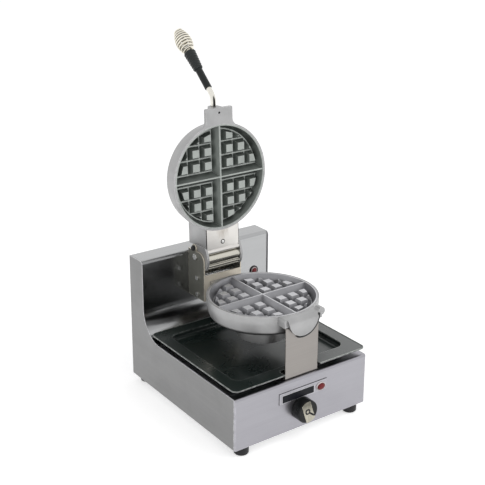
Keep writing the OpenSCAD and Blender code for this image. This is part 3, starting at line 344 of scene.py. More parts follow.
class Finish(Nodes):
    """A material while it is made: its tree, its Principled shader and its object coordinates."""

    def __init__(self, name, metallic, roughness, **sockets):
        self.material = bpy.data.materials.new(name)
        self.material.use_nodes = True
        super().__init__(self.material.node_tree)
        self.tree.nodes.clear()
        plain = {"Metallic": metallic, "Roughness": roughness}
        plain.update({key.replace("_", " "): value for key, value in sockets.items()})
        self.shader = self.add("BsdfPrincipled", plain)
        self.add("OutputMaterial", {"Surface": self.shader.outputs[0]})
        self.place = self.add("TexCoord").outputs["Object"]

    def join(self, socket, value):
        """Joins a value or a colour to one of the shader's sockets."""
        self.fill(self.shader.inputs[socket], value)

    def worn_and_highlit(self, radius):
        """Mask along the edges, for wear and painted highlight."""
        return self.use("Worn and Highlit Edges", Place=self.place, Radius=radius)["Mask"]

    def deep(self, distance):
        """Mask in grooves and corners, for painted shade and for dust."""
        return self.use("Recess Shade", Distance=distance)["Mask"]

    def marks(self, scale):
        """Mask of smudges and wiped streaks."""
        return self.use("Handling Marks", Place=self.place, Scale=scale)["Mask"]

    def shaded(self, colour, direction, dark_at, light_at, tone):
        """A colour that darkens to a tone where the surface turns away from a direction, as painted shade."""
        fall = self.use("Painted Facing Shade", Direction=direction, Dark_at=dark_at, Light_at=light_at,
                        Dark_Tone=tone)
        return self.toned(colour, fall["Tone"])

    def rubbed(self, smooth, rough, scale):
        """Roughness that goes between two values where the surface has been handled."""
        self.join("Roughness", self.remap(self.marks(scale), 0.0, 1.0, smooth, rough))

    def relief(self, height, depth, strength):
        """Bumps the surface by a height that is depth metres at its most."""
        bump = self.add("Bump", {"Height": height, "Distance": depth, "Strength": strength})
        self.join("Normal", bump.outputs["Normal"])


FINE, COARSE = 900.0, 7.0
ALONG_X, ALONG_Y, ALONG_Z = (COARSE, FINE, FINE), (FINE, COARSE, FINE), (FINE, FINE, COARSE)


def tinted(factor, base):
    """A plain colour made lighter or darker, and held at white."""
    return tuple(min(1.0, factor * part) for part in base)


def brushed(name, base, along, smooth=0.30, rough=0.42, contrast=0.34, worn_and_highlit=1.15, shade=None, second=None,
            metallic=1.0, lower=None, recess=0.15, outside=None, painted_reflection_fade=None, browned=None):
    """Brushed steel: streaks along one direction, wiped marks, edges lightened as wear and painted highlight,
    and grooves darkened by recess as painted shade; shade darkens what faces away from a direction as painted
    shade, second is the darker colour of what faces to the sides, or to the side given by outside, a painted
    shade, lower darkens between two heights, painted_reflection_fade darkens upright faces between two places
    from left to right as a painted reflection, and browned is the middle, radius and colour of a heat stain."""
    finish = Finish(name, metallic, rough)
    grain = finish.use("Brushed Grain", Place=finish.place, Stretch=along, Contrast=contrast)
    ground = base
    # Painted shade: faces turned to the sides take the second, darker colour.
    if second:
        turned_out = finish.part(finish.own_normal(), "X")
        turned_out = finish.times(turned_out, outside) if outside else finish.maths("ABSOLUTE", turned_out)
        sideways = finish.remap(turned_out, 0.5, 0.8)
        ground = finish.blend(sideways, base, second)
        if outside:
            finish.join("Metallic", finish.remap(sideways, 0.0, 1.0, 0.2, metallic))
    steel = finish.toned(ground, grain["Tone"])
    # Painted shade where the surface faces away from a direction.
    if shade:
        steel = finish.shaded(steel, *shade)
    if lower:
        steel = finish.toned(steel, finish.remap(finish.part(finish.place, "Z"), *lower))
    # Painted reflection: upright faces darken from left to right, as where they mirror dark surroundings.
    if painted_reflection_fade:
        across = finish.remap(finish.part(finish.place, "X"), *painted_reflection_fade)
        upward = finish.remap(finish.part(finish.own_normal(), "Z"), 0.3, 0.8)
        steel = finish.toned(steel, finish.maths("MAXIMUM", across, upward))
    if browned:
        middle, radius, brown = browned
        away = finish.vectors("DISTANCE", finish.place, middle, "Value")
        ragged = finish.stretched_noise(finish.place, (260.0, 260.0, 90.0), detail=3.0, distortion=0.8)
        reach = finish.maths("SUBTRACT", away, finish.times(ragged, radius))
        stain = finish.remap(reach, 0.3 * radius, -0.5 * radius, 0.0, 0.6)
        steel = finish.blend(stain, steel, brown)
    # Painted shade in grooves and corners, then edges lightened as wear and painted highlight.
    steel = finish.blend(finish.times(finish.deep(distance=0.006), recess), steel, tinted(0.25, base))
    finish.join("Base Color", finish.blend(finish.worn_and_highlit(radius=0.0020), steel, tinted(worn_and_highlit, base)))
    finish.rubbed(smooth, rough, scale=14.0)
    finish.relief(grain["Height"], depth=0.00002, strength=0.55)
    return finish.material


def side_steel(name, base, outside):
    """Light brushed steel of a side panel, brushed from front to back, with bright cut edges and its outward
    face in the darker side colour as painted shade.
    """
    return brushed(name, (0.70, 0.70, 0.72), ALONG_Y, contrast=0.28, worn_and_highlit=1.1, second=base, outside=outside)


def heights(node, *shares):
    """Heights at shares of a CAD node's box, counted from its foot."""
    low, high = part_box(node)
    return [low.z + share * (high.z - low.z) for share in shares]


def cover_steel(name, base):
    """Light satin steel of the neck cover, browned by heat at the top of its middle."""
    low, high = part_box("neck_cover")
    stain = ((0.0, low.y + 4 * MM, high.z - 11 * MM), 19 * MM, (0.36, 0.31, 0.26))
    return brushed(name, base, ALONG_X, smooth=0.28, rough=0.38, contrast=0.16, worn_and_highlit=1.05, browned=stain)


def cast_metal(name, base, smooth=0.38, rough=0.50, under=None):
    """Satin cast aluminium: blasted grain, soft clouds, painted shade in recesses and edges lightened as wear
    and painted highlight; under is the tone of what faces down, a painted shade that also darkens towards the
    base's foot."""
    finish = Finish(name, 0.85, rough)
    grain = finish.use("Cast Grain", Place=finish.place, Grains_per_Metre=1500.0)
    metal = finish.toned(base, grain["Tone"])
    if under:
        # Painted shade: darker where the casting faces down and towards the base's foot.
        metal = finish.shaded(metal, (0.0, 0.0, 1.0), dark_at=-0.95, light_at=-0.05, tone=under)
        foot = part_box("lower_grid")[0].z
        height = finish.part(finish.place, "Z")
        metal = finish.toned(metal, finish.remap(height, foot - 12 * MM, foot + 8 * MM, 0.80, 1.0))
    # Painted shade in recesses, and edges lightened as wear and painted highlight.
    metal = finish.blend(finish.times(finish.deep(distance=0.010), 0.55), metal, tinted(0.42, base))
    finish.join("Base Color", finish.blend(finish.worn_and_highlit(radius=0.0016), metal, tinted(1.6, base)))
    finish.rubbed(smooth, rough, scale=22.0)
    finish.relief(grain["Height"], depth=0.00006, strength=0.6)
    return finish.material


def grid_metal(name, sides, tops, facing, grooves, worn_and_highlit_edge, rough):
    """Cast grid: pegs with their own side colour, grooves darkened as painted shade, flat faces that face one
    way lighter as painted light, and edges lightened as wear and painted highlight.
    """
    finish = Finish(name, 0.85, rough)
    grain = finish.use("Cast Grain", Place=finish.place, Grains_per_Metre=1400.0)
    # Painted shade in the grooves, and flat faces that face one way lighter, as painted light.
    deep = finish.deep(distance=0.012)
    flat = finish.remap(finish.vectors("DOT_PRODUCT", finish.own_normal(), facing, "Value"), 0.82, 0.99)
    open_top = finish.times(flat, finish.remap(deep, *grooves))
    side = finish.toned(sides, grain["Tone"])
    metal = finish.blend(finish.times(deep, 0.45), side, tinted(0.35, sides))
    metal = finish.blend(open_top, metal, finish.toned(tops, grain["Tone"]))
    edge = finish.times(finish.worn_and_highlit(radius=0.0016), 0.7)
    finish.join("Base Color", finish.blend(edge, metal, worn_and_highlit_edge))
    finish.rubbed(0.34, rough, scale=24.0)
    finish.relief(grain["Height"], depth=0.00006, strength=0.6)
    return finish.material


def tray_coat(name, base):
    """Dark satin coat of the tray, its gloss cut down where the casting shades it as painted shade, and pale
    at its edges as wear and painted highlight.
    """
    finish = Finish(name, 0.0, 0.30, Coat_Roughness=0.20, Specular_IOR_Level=0.5)
    peel = finish.noise(finish.place, scale=420.0, detail=2.0)
    scuff = finish.stretched_noise(finish.place, (30.0, 600.0, 600.0), detail=3.0, distortion=0.6)
    # Pale edges: wear and painted highlight.
    edge = finish.worn_and_highlit(radius=0.0036)
    scuffed = finish.blend(finish.remap(scuff, 0.62, 0.80, 0.0, 0.25), base, (0.07, 0.085, 0.08))
    finish.join("Base Color", finish.blend(edge, scuffed, (0.46, 0.48, 0.47)))
    finish.join("Metallic", finish.times(edge, 0.9))
    # Painted shade: the coat's gloss is cut down where the casting shades the tray.
    finish.join("Coat Weight", finish.remap(finish.deep(distance=0.16), 0.05, 0.75, 1.0, 0.05))
    finish.rubbed(0.26, 0.32, scale=11.0)
    finish.relief(peel, depth=0.00003, strength=0.3)
    return finish.material


def rim_steel(name):
    """Bead round the tray's rim, its dark coat rubbed down to pale metal."""
    finish = Finish(name, 0.9, 0.36)
    finish.join("Base Color", finish.blend(finish.marks(scale=70.0), (0.46, 0.48, 0.46), (0.20, 0.22, 0.21)))
    finish.rubbed(0.26, 0.42, scale=60.0)
    return finish.material


def rubber(name, base, rough=0.62, dust=0.5, worn_and_highlit=2.5, shine=0.42):
    """Matt black rubber or vinyl with a fine grain, pale dust in its grooves and edges lightened as wear and
    painted highlight.
    """
    finish = Finish(name, 0.0, rough, Specular_IOR_Level=shine)
    grain = finish.noise(finish.place, scale=1900.0, detail=3.0)
    dusty = finish.times(finish.times(finish.deep(distance=0.005), finish.marks(scale=60.0)), 0.10 * dust)
    black = finish.toned(base, finish.remap(grain, 0.3, 0.7, 0.8, 1.2))
    black = finish.blend(dusty, black, (0.30, 0.30, 0.29))
    # Edges lightened as wear and painted highlight.
    finish.join("Base Color", finish.blend(finish.worn_and_highlit(radius=0.0010), black, tinted(worn_and_highlit, base)))
    finish.rubbed(rough - 0.14, rough, scale=40.0)
    finish.relief(grain, depth=0.00004, strength=0.5)
    return finish.material


def lead_sleeve(name):
    """Braided sleeve of the leads."""
    finish = Finish(name, 0.0, 0.72)
    braid = finish.add("TexWave", {"Vector": finish.place, "Scale": 900.0, "Distortion": 2.0}).outputs["Fac"]
    finish.join("Base Color", finish.blend(braid, (0.030, 0.030, 0.034), (0.10, 0.10, 0.105)))
    finish.relief(braid, depth=0.00015, strength=0.8)
    return finish.material


def plated(name, base, smooth, rough, painted_reflection_streak=None, gaps=0.75):
    """Bright plating with faint smudges, painted shade in its gaps, fine grain and sometimes a painted dark
    reflection down one side.
    """
    finish = Finish(name, 1.0, smooth)
    cloud = finish.noise(finish.place, scale=90.0, detail=4.0)
    fine = finish.noise(finish.place, scale=1600.0, detail=2.0)
    metal = finish.toned(base, finish.remap(cloud, 0.3, 0.7, 0.90, 1.06))
    # Painted reflection: a dark band down one side.
    if painted_reflection_streak:
        metal = finish.shaded(metal, *painted_reflection_streak)
    # Painted shade in the gaps.
    metal = finish.blend(finish.times(finish.deep(distance=0.004), gaps), metal, tinted(0.12, base))
    finish.join("Base Color", metal)
    finish.rubbed(smooth, rough, scale=55.0)
    finish.relief(fine, depth=0.000015, strength=0.4)
    return finish.material


def glossy(name, base, smooth=0.16, rough=0.30, coat=0.4, shine=0.35):
    """Moulded or enamelled gloss with fine dust, wiped marks and edges lightened as wear and painted
    highlight.
    """
    finish = Finish(name, 0.0, smooth, Coat_Weight=coat, Coat_Roughness=0.12, Specular_IOR_Level=shine)
    speck = finish.noise(finish.place, scale=1300.0, detail=4.0)
    pale = tuple(0.90 * part + 0.05 for part in base)
    gloss = finish.toned(base, finish.remap(speck, 0.3, 0.7, 0.85, 1.12))
    # Edges lightened as wear and painted highlight.
    edge = finish.times(finish.worn_and_highlit(radius=0.0008), 0.6)
    finish.join("Base Color", finish.blend(edge, gloss, pale))
    finish.rubbed(smooth, rough, scale=48.0)
    finish.relief(speck, depth=0.00002, strength=0.3)
    return finish.material


def lamp_red(name, base):
    """Red lens: a dark body under a clear coat, lighter where its facets catch the light."""
    finish = Finish(name, 0.0, 0.24, Coat_Weight=0.15, Coat_Roughness=0.08, Specular_IOR_Level=0.2)
    sockets = {"Vector": finish.place, "Scale": 420.0, "Randomness": 0.25}
    facets = finish.add("TexVoronoi", sockets).outputs["Distance"]
    finish.join("Base Color", finish.blend(finish.remap(facets, 0.10, 0.55), base, (0.13, 0.010, 0.012)))
    finish.relief(facets, depth=0.0003, strength=0.7)
    return finish.material


def insulation(name):
    """Mineral wool pad."""
    finish = Finish(name, 0.0, 0.92)
    fibre = finish.stretched_noise(finish.place, (500.0, 500.0, 1800.0), detail=5.0, distortion=1.5)
    finish.join("Base Color", finish.blend(fibre, (0.52, 0.50, 0.42), (0.82, 0.80, 0.72)))
    finish.relief(fibre, depth=0.0008, strength=0.9)
    return finish.material


# Each finish is made from its own name and the colours that can be changed.
FINISHES = {
    # Sheet steel: the panels, the deck under the tray, the tower's front and sweep, the pan and the strap
    "panel_steel_across": lambda name, own: brushed(name, own.panel, ALONG_X, contrast=0.24, worn_and_highlit=1.7),
    "panel_steel_left": lambda name, own: side_steel(name, own.side, outside=-1.0),
    "panel_steel_right": lambda name, own: side_steel(name, own.side, outside=1.0),
    "deck_steel": lambda name, own: brushed(name, tinted(0.90, own.panel), ALONG_X),
    # The tower's front darkens towards its left on upright faces: a painted reflection of the dark tray
    # beside it.
    "tower_steel": lambda name, own: brushed(
        name, own.tower, ALONG_X, smooth=0.14, rough=0.24, contrast=0.24, painted_reflection_fade=(-0.040, 0.0, 0.62, 1.0)),
    "pan_steel": lambda name, own: brushed(
        name, (0.40, 0.40, 0.41), ALONG_Y, smooth=0.40, rough=0.52, contrast=0.22),
    "strap_steel": lambda name, own: brushed(name, own.strap, ALONG_X, smooth=0.34, rough=0.44),
    # Hinge: the bracket with a pale warm front and its sides darkened as painted shade, the polished barrel
    # with painted shade below, and the cover over the neck
    "bracket_steel": lambda name, own: brushed(
        name, own.web, ALONG_Z, contrast=0.30, worn_and_highlit=1.2, second=own.bracket, metallic=0.5, recess=0.35),
    # The barrel darkens where it faces down and towards its foot: painted shade standing in for the dark it
    # mirrors.
    "barrel_steel": lambda name, own: brushed(
        name, own.barrel, ALONG_X, smooth=0.16, rough=0.26, contrast=0.24, worn_and_highlit=1.05, recess=0.4,
        shade=((0.0, -0.64, 0.77), 0.25, 0.95, 0.32),
        lower=(*heights("hinge_barrel", 0.20, 0.70), 0.62, 1.0)),
    "cover_steel": lambda name, own: cover_steel(name, own.cover),
    # Front panel: the plate behind the nameplate and the lamp, its pale border and the knob's bright insert
    "plate_steel": lambda name, own: brushed(
        name, tinted(1.05, own.panel), ALONG_X, smooth=0.24, rough=0.34, contrast=0.30),
    "border_steel": lambda name, own: brushed(name, (0.58, 0.58, 0.60), ALONG_X, rough=0.40, contrast=0.10),
    "insert_metal": lambda name, own: brushed(
        name, (0.44, 0.42, 0.35), ALONG_Z, smooth=0.16, rough=0.28, contrast=1.4,
        lower=(*heights("knob", 0.45, 0.85), 1.0, 0.38)),
    # Castings and grids; the base's casting darkens where it faces down and towards its foot, as painted
    # shade, and the grids' flat faces are lighter than their sloped sides, as painted light and shade
    "casting": lambda name, own: cast_metal(name, own.casting),
    "base_casting": lambda name, own: cast_metal(name, own.casting, under=0.16),
    "element_metal": lambda name, own: cast_metal(name, (0.075, 0.070, 0.068), smooth=0.5, rough=0.65),
    "lower_grid_metal": lambda name, own: grid_metal(
        name, own.lower_grid, own.lower_top, facing=(0.0, 0.0, 1.0), grooves=(0.6, 0.05),
        worn_and_highlit_edge=(0.62, 0.62, 0.64), rough=0.46),
    "upper_grid_metal": lambda name, own: grid_metal(
        name, own.upper_grid, own.peg_top, facing=LID_FACING, grooves=(1.6, 0.1),
        worn_and_highlit_edge=(0.60, 0.62, 0.61), rough=0.48),
    # Drip tray and its bead
    "tray_finish": lambda name, own: tray_coat(name, own.tray),
    "rim_steel": lambda name, own: rim_steel(name),
    # Rubber and vinyl; the edges of the sleeve, and most of all the grip's rings, are lightened as painted
    # highlight
    "foot_rubber": lambda name, own: rubber(name, own.rubber),
    "handle_black": lambda name, own: rubber(name, own.sleeve, rough=0.42, dust=0.3, worn_and_highlit=9.0, shine=0.26),
    "grip_black": lambda name, own: rubber(name, own.sleeve, rough=0.38, dust=0.3, worn_and_highlit=20.0, shine=0.36),
    "lead_sleeve": lambda name, own: lead_sleeve(name),
    # Plating: the rod with a painted dark reflection down its front, the coil with painted shade between its
    # turns, zinc, black and copper
    "handle_chrome": lambda name, own: plated(
        name, (0.80, 0.78, 0.72), smooth=0.08, rough=0.20, painted_reflection_streak=((-0.20, -0.98, 0.0), 0.95, 0.86, 0.03)),
    "coil_chrome": lambda name, own: plated(
        name, tinted(1.3, own.chrome), smooth=0.12, rough=0.26, gaps=0.98),
    "screw_metal": lambda name, own: plated(name, (0.88, 0.88, 0.86), smooth=0.20, rough=0.36),
    "dark_screw": lambda name, own: plated(name, (0.020, 0.020, 0.020), smooth=0.30, rough=0.45),
    "copper": lambda name, own: plated(name, (0.72, 0.36, 0.21), smooth=0.24, rough=0.42),
    # Knob, enamel, lamps and the mouldings inside
    "knob_black": lambda name, own: glossy(name, (0.008, 0.009, 0.009), 0.26, 0.40, coat=0.0, shine=0.24),
    "nameplate_black": lambda name, own: glossy(
        name, (0.008, 0.009, 0.013), 0.34, 0.46, coat=0.0, shine=0.18),
    "bezel_pale": lambda name, own: glossy(name, (0.80, 0.74, 0.73)),
    "bezel_black": lambda name, own: glossy(name, (0.018, 0.013, 0.013)),
    "lamp_red": lambda name, own: lamp_red(name, own.lamp),
    "thermostat_case": lambda name, own: glossy(name, (0.16, 0.16, 0.17), 0.40, 0.55, coat=0.0),
    "block_white": lambda name, own: glossy(name, (0.76, 0.74, 0.68), 0.28, 0.44, coat=0.2),
    "insulation": lambda name, own: insulation(name),
}
finished = {}


def finish_of(name):
    """The material of that name, made the first time it is asked for."""
    if name not in finished:
        finished[name] = FINISHES[name](name, colours())
    return finished[name]


def sizes():
    """The sizes that can be changed."""
    return bpy.context.scene.waffle_sizes


def colours():
    """The colours that can be changed."""
    return bpy.context.scene.waffle_colours


def stage_settings():
    """The settings of the stage."""
    return bpy.context.scene.waffle_stage


# ---- Places, worked out from the frame ----

def centre_of(node):
    """Middle of a CAD node's box."""
    low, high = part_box(node)
    return (low + high) / 2


def open_angle():
    """Angle that the lid has turned through at rest, from its joint's range."""
    joint = next(joint for joint in frame["joints"] if joint["name"] == "lid_hinge")
    return math.radians(joint["range_deg"][1])


LID_FACING = (0.0, -math.sin(open_angle()), -math.cos(open_angle()))
FRONT_FACING = (0, -1, 0)

# An edge at least so sharp is rounded; faces that turn less than this are one
SHARP = math.radians(30)
FLAT = math.radians(0.4)

# Points closer than this are one, in the CAD's meshes and in the pieces made here
CAD_POINT = 0.02 * MM
SAME_POINT = 0.001 * MM


# ---- Modelling ----

def deselect():
    """Leaves object mode with nothing selected."""
    if bpy.context.object and bpy.context.object.mode != "OBJECT":
        bpy.ops.object.mode_set(mode="OBJECT")
    bpy.ops.object.select_all(action="DESELECT")


def pick(piece):
    """Makes one object the only selected and the active one."""
    deselect()
    piece.select_set(True)
    bpy.context.view_layer.objects.active = piece


@contextmanager
def edited(piece):
    """Edit mode with the whole piece selected."""
    pick(piece)
    bpy.ops.object.mode_set(mode="EDIT")
    bpy.ops.mesh.select_all(action="SELECT")
    yield
    bpy.ops.object.mode_set(mode="OBJECT")


def settle(piece, name):
    """Names a piece and puts its place into its mesh."""
    pick(piece)
    piece.name = name
    piece.data.name = name
    bpy.ops.object.transform_apply(location=True, rotation=True, scale=True)
    return piece


def start(primitive, name, place, scale, rotation=(0, 0, 0)):
    """New plane or cube at a place, with its own width, depth and height."""
    deselect()
    primitive(size=1.0, location=place, rotation=rotation)
    bpy.context.object.scale = scale
    return settle(bpy.context.object, name)


def apply_all(piece):
    """Applies the piece's modifiers in their order."""
    pick(piece)
    for modifier in list(piece.modifiers):
        bpy.ops.object.modifier_apply(modifier=modifier.name)


def thicken(piece, thickness):
    """Gives a flat piece a thickness."""
    wall = piece.modifiers.new("Wall", "SOLIDIFY")
    wall.thickness = thickness
    wall.offset = 1.0
    apply_all(piece)


def cut(piece, cutter):
    """Cuts a piece with another one, which is then removed."""
    difference = piece.modifiers.new("Cut", "BOOLEAN")
    difference.object = cutter
    difference.solver = "EXACT"
    apply_all(piece)
    bpy.data.objects.remove(cutter, do_unlink=True)


def round_edges(piece, width, segments=3):
    """Rounds the piece's sharp edges and keeps its flat faces flat in the light."""
    pick(piece)
    bpy.ops.object.shade_smooth()
    if width > 0:
        bevel = piece.modifiers.new("Edges", "BEVEL")
        bevel.width = width
        bevel.segments = segments
        bevel.limit_method = "ANGLE"
        bevel.angle_limit = SHARP
        weld = piece.modifiers.new("Weld", "WELD")
        weld.merge_threshold = SAME_POINT
    normals = piece.modifiers.new("Normals", "WEIGHTED_NORMAL")
    normals.keep_sharp = False
    apply_all(piece)


def recalculate(piece):
    """Merges doubles and turns every face outwards."""
    with edited(piece):
        bpy.ops.mesh.remove_doubles(threshold=SAME_POINT)
        bpy.ops.mesh.normals_make_consistent(inside=False)


def bevel_edges(piece, chosen, width, segments):
    """Rounds the edges whose two ends are chosen."""
    pick(piece)
    mesh = piece.data
    bpy.ops.object.mode_set(mode="EDIT")
    bpy.ops.mesh.select_all(action="DESELECT")
    bpy.ops.mesh.select_mode(type="EDGE")
    bpy.ops.object.mode_set(mode="OBJECT")
    for edge in mesh.edges:
        edge.select = all(chosen(mesh.vertices[end].co) for end in edge.vertices)
    bpy.ops.object.mode_set(mode="EDIT")
    bpy.ops.mesh.bevel(offset=width, segments=segments, affect="EDGES", clamp_overlap=True)
    bpy.ops.mesh.select_mode(type="VERT")
    bpy.ops.object.mode_set(mode="OBJECT")


def merged_copy(node):
    """Copy of a CAD node with its loose triangles merged into whole faces."""
    piece = bpy.data.objects.new(node + "_finished", frame["nodes"][node].data.copy())
    bpy.context.scene.collection.objects.link(piece)
    pick(piece)
    bpy.ops.mesh.customdata_custom_splitnormals_clear()
    with edited(piece):
        bpy.ops.mesh.remove_doubles(threshold=CAD_POINT)
        bpy.ops.mesh.dissolve_limited(angle_limit=FLAT)
    return piece


def turned(name, profile, around=48):
    """Turned piece about Z: a filled circle, extruded and scaled through steps of (radius, height)."""
    deselect()
    radius, height = profile[0]
    bpy.ops.mesh.primitive_circle_add(
        vertices=around, radius=radius, fill_type="NGON", location=(0, 0, height))
    piece = settle(bpy.context.object, name)
    with edited(piece):
        for next_radius, next_height in profile[1:]:
            rise = {"value": (0, 0, next_height - height)}
            bpy.ops.mesh.extrude_region_move(TRANSFORM_OT_translate=rise)
            share = next_radius / radius
            bpy.ops.transform.resize(value=(share, share, 1), center_override=(0, 0, next_height))
            radius, height = next_radius, next_height
    recalculate(piece)
    return piece


def axis_frame(origin, direction):
    """Matrix that carries +Z at the origin to a direction at a point."""
    turn = Vector(direction).to_track_quat("Z", "Y").to_matrix().to_4x4()
    return Matrix.Translation(Vector(origin)) @ turn


def give(piece, body, material, slot, *nodes):
    """Gives a piece its finish and its body, and hides the nodes that it stands for; slot is not used."""
    piece.data.materials.clear()
    piece.data.materials.append(finish_of(material))
    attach(piece, body)
    if nodes:
        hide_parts(*nodes)
    return piece


def body_of(node):
    """Name of the body that a CAD node rides on."""
    return frame["nodes"][node]["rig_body"]


def refine(node, width, material, slot=None):
    """Stands a rounded copy in for a CAD node."""
    piece = merged_copy(node)
    round_edges(piece, width)
    return give(piece, body_of(node), material, slot or material, node)


def dress(node, material):
    """Gives a CAD node its finish and keeps its shape."""
    mesh = frame["nodes"][node].data
    mesh.materials.clear()
    mesh.materials.append(finish_of(material))


# ---- Operators, one for each piece or group of pieces ----

class WAFFLE_OT_sheet_metal(bpy.types.Operator):
    """Panels of the base and the tower"""

    bl_idname = "waffle.sheet_metal"
    bl_label = "Sheet Metal"

    def execute(self, context):
        edge = sizes().sheet_edge
        refine("left_side_panel", edge, "panel_steel_left", "panel_steel")
        refine("right_side_panel", edge, "panel_steel_right", "panel_steel")
        refine("front_panel", edge, "panel_steel_across", "panel_steel")
        refine("rear_cover", edge, "panel_steel_across", "panel_steel")
        refine("tower_front_sheet", edge * 0.6, "tower_steel")
        refine("deck_plate", edge * 0.6, "deck_steel")
        refine("bottom_pan", edge * 0.6, "pan_steel")
        return {"FINISHED"}


class WAFFLE_OT_drip_tray(bpy.types.Operator):
    """Pressed tray with a beaded rim and a sunken well"""

    bl_idname = "waffle.drip_tray"
    bl_label = "Drip Tray"

    # The well's mouth lies inside the flange, and its floor's edges in a band above the tray's foot
    flange = 20 * MM
    floor_band = (0.5 * MM, 3 * MM)
    bead_inset = 0.3 * MM
    bead_width = 1.5 * MM
    corner = 11 * MM
    # What the gap in the bead adds to the strap's width and to twice its depth, and the gap's height
    gap_sides, gap_depth, gap_height = 6 * MM, 3 * MM, 20 * MM

    def execute(self, context):
        tray = merged_copy("drip_tray")
        low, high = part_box("drip_tray")
        bevel_edges(tray, lambda end: self.on_mouth(end, low, high), sizes().tray_lip, 5)
        bevel_edges(tray, lambda end: self.on_floor(end, low), sizes().tray_round, 6)
        round_edges(tray, sizes().sheet_edge)
        give(tray, body_of("drip_tray"), "tray_finish", "tray_finish", "drip_tray")
        self.bead(low, high)
        return {"FINISHED"}

    def on_mouth(self, end, low, high):
        """True for a point round the well's mouth."""
        return (abs(end.z - high.z) < 0.05 * MM and low.x + self.flange < end.x < high.x - self.flange
                and low.y + self.flange < end.y < high.y - self.flange)

    def on_floor(self, end, low):
        """True for a point round the well's floor."""
        return self.floor_band[0] < end.z - low.z < self.floor_band[1]

    def bead(self, low, high):
        """Narrow raised bead along the rim, open where the strap passes."""
        place = ((low.x + high.x) / 2, (low.y + high.y) / 2, high.z)
        wide = high.x - low.x - 2 * self.bead_inset
        deep = high.y - low.y - 2 * self.bead_inset
        rim = start(bpy.ops.mesh.primitive_plane_add, "tray_bead", place, (wide, deep, 1.0))
        with edited(rim):
            bpy.ops.mesh.bevel(offset=self.corner, segments=10, affect="VERTICES")
            bpy.ops.mesh.inset(thickness=self.bead_width)
            bpy.ops.mesh.delete(type="FACE")
        thicken(rim, sizes().tray_bead)
        cut(rim, self.strap_gap(high.z))
        round_edges(rim, sizes().tray_bead * 0.4)
        give(rim, body_of("drip_tray"), "rim_steel", "tray_finish")

    def strap_gap(self, height):
        """Block that cuts the bead open round the strap."""
        low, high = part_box("front_strap")
        scale = (high.x - low.x + self.gap_sides, 2 * (high.y - low.y) + self.gap_depth, self.gap_height)
        place = ((low.x + high.x) / 2, low.y, height)
        return start(bpy.ops.mesh.primitive_cube_add, "strap_gap", place, scale)


class WAFFLE_OT_strap(bpy.types.Operator):
    """Bent strap that carries the lower casting's front"""

    bl_idname = "waffle.strap"
    bl_label = "Front Strap"

    tongue_rise = 11 * MM
    tongue_edge = Vector((33.2 * MM, -1.75 * MM, 0))
    shadow_scale = (3.8 * MM, 3.5 * MM, 1.0)
    shadow_turn = math.radians(-112)

    def execute(self, context):
        refine("front_strap", sizes().sheet_edge, "strap_steel")
        refine("strap_screws", sizes().small_edge, "screw_metal")
        self.tongue_shadow()
        return {"FINISHED"}

    def tongue_shadow(self):
        """Black piece that paints the tongue's shadow in the angle between the tongue and the strap, at the
        tongue's right and foot.
        """
        low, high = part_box("front_strap")
        middle = Vector(((low.x + high.x) / 2, low.y, high.z + self.tongue_rise))
        edge = middle + self.tongue_edge
        pad = start(bpy.ops.mesh.primitive_plane_add, "tongue_shadow", edge, self.shadow_scale)
        with edited(pad):
            bpy.ops.mesh.spin(steps=40, angle=self.shadow_turn, center=middle, axis=(0, 1, 0))
        recalculate(pad)
        round_edges(pad, 0.3 * MM, 2)
        give(pad, body_of("lower_housing"), "foot_rubber", "foot_rubber")


class WAFFLE_OT_castings(bpy.types.Operator):
    """Round housings, their covers and the lid's neck"""

    bl_idname = "waffle.castings"
    bl_label = "Castings"

    def execute(self, context):
        for node in ("upper_housing", "upper_cover", "lid_neck"):
            refine(node, sizes().cast_edge, "casting")
        for node in ("lower_housing", "lower_cover"):
            refine(node, sizes().cast_edge, "base_casting", "casting")
        return {"FINISHED"}


class WAFFLE_OT_grids(bpy.types.Operator):
    """Pegged grids with rounded pegs"""

    bl_idname = "waffle.grids"
    bl_label = "Grids"

    def execute(self, context):
        for node in ("lower_grid", "upper_grid"):
            refine(node, sizes().peg_edge, node + "_metal")
        return {"FINISHED"}


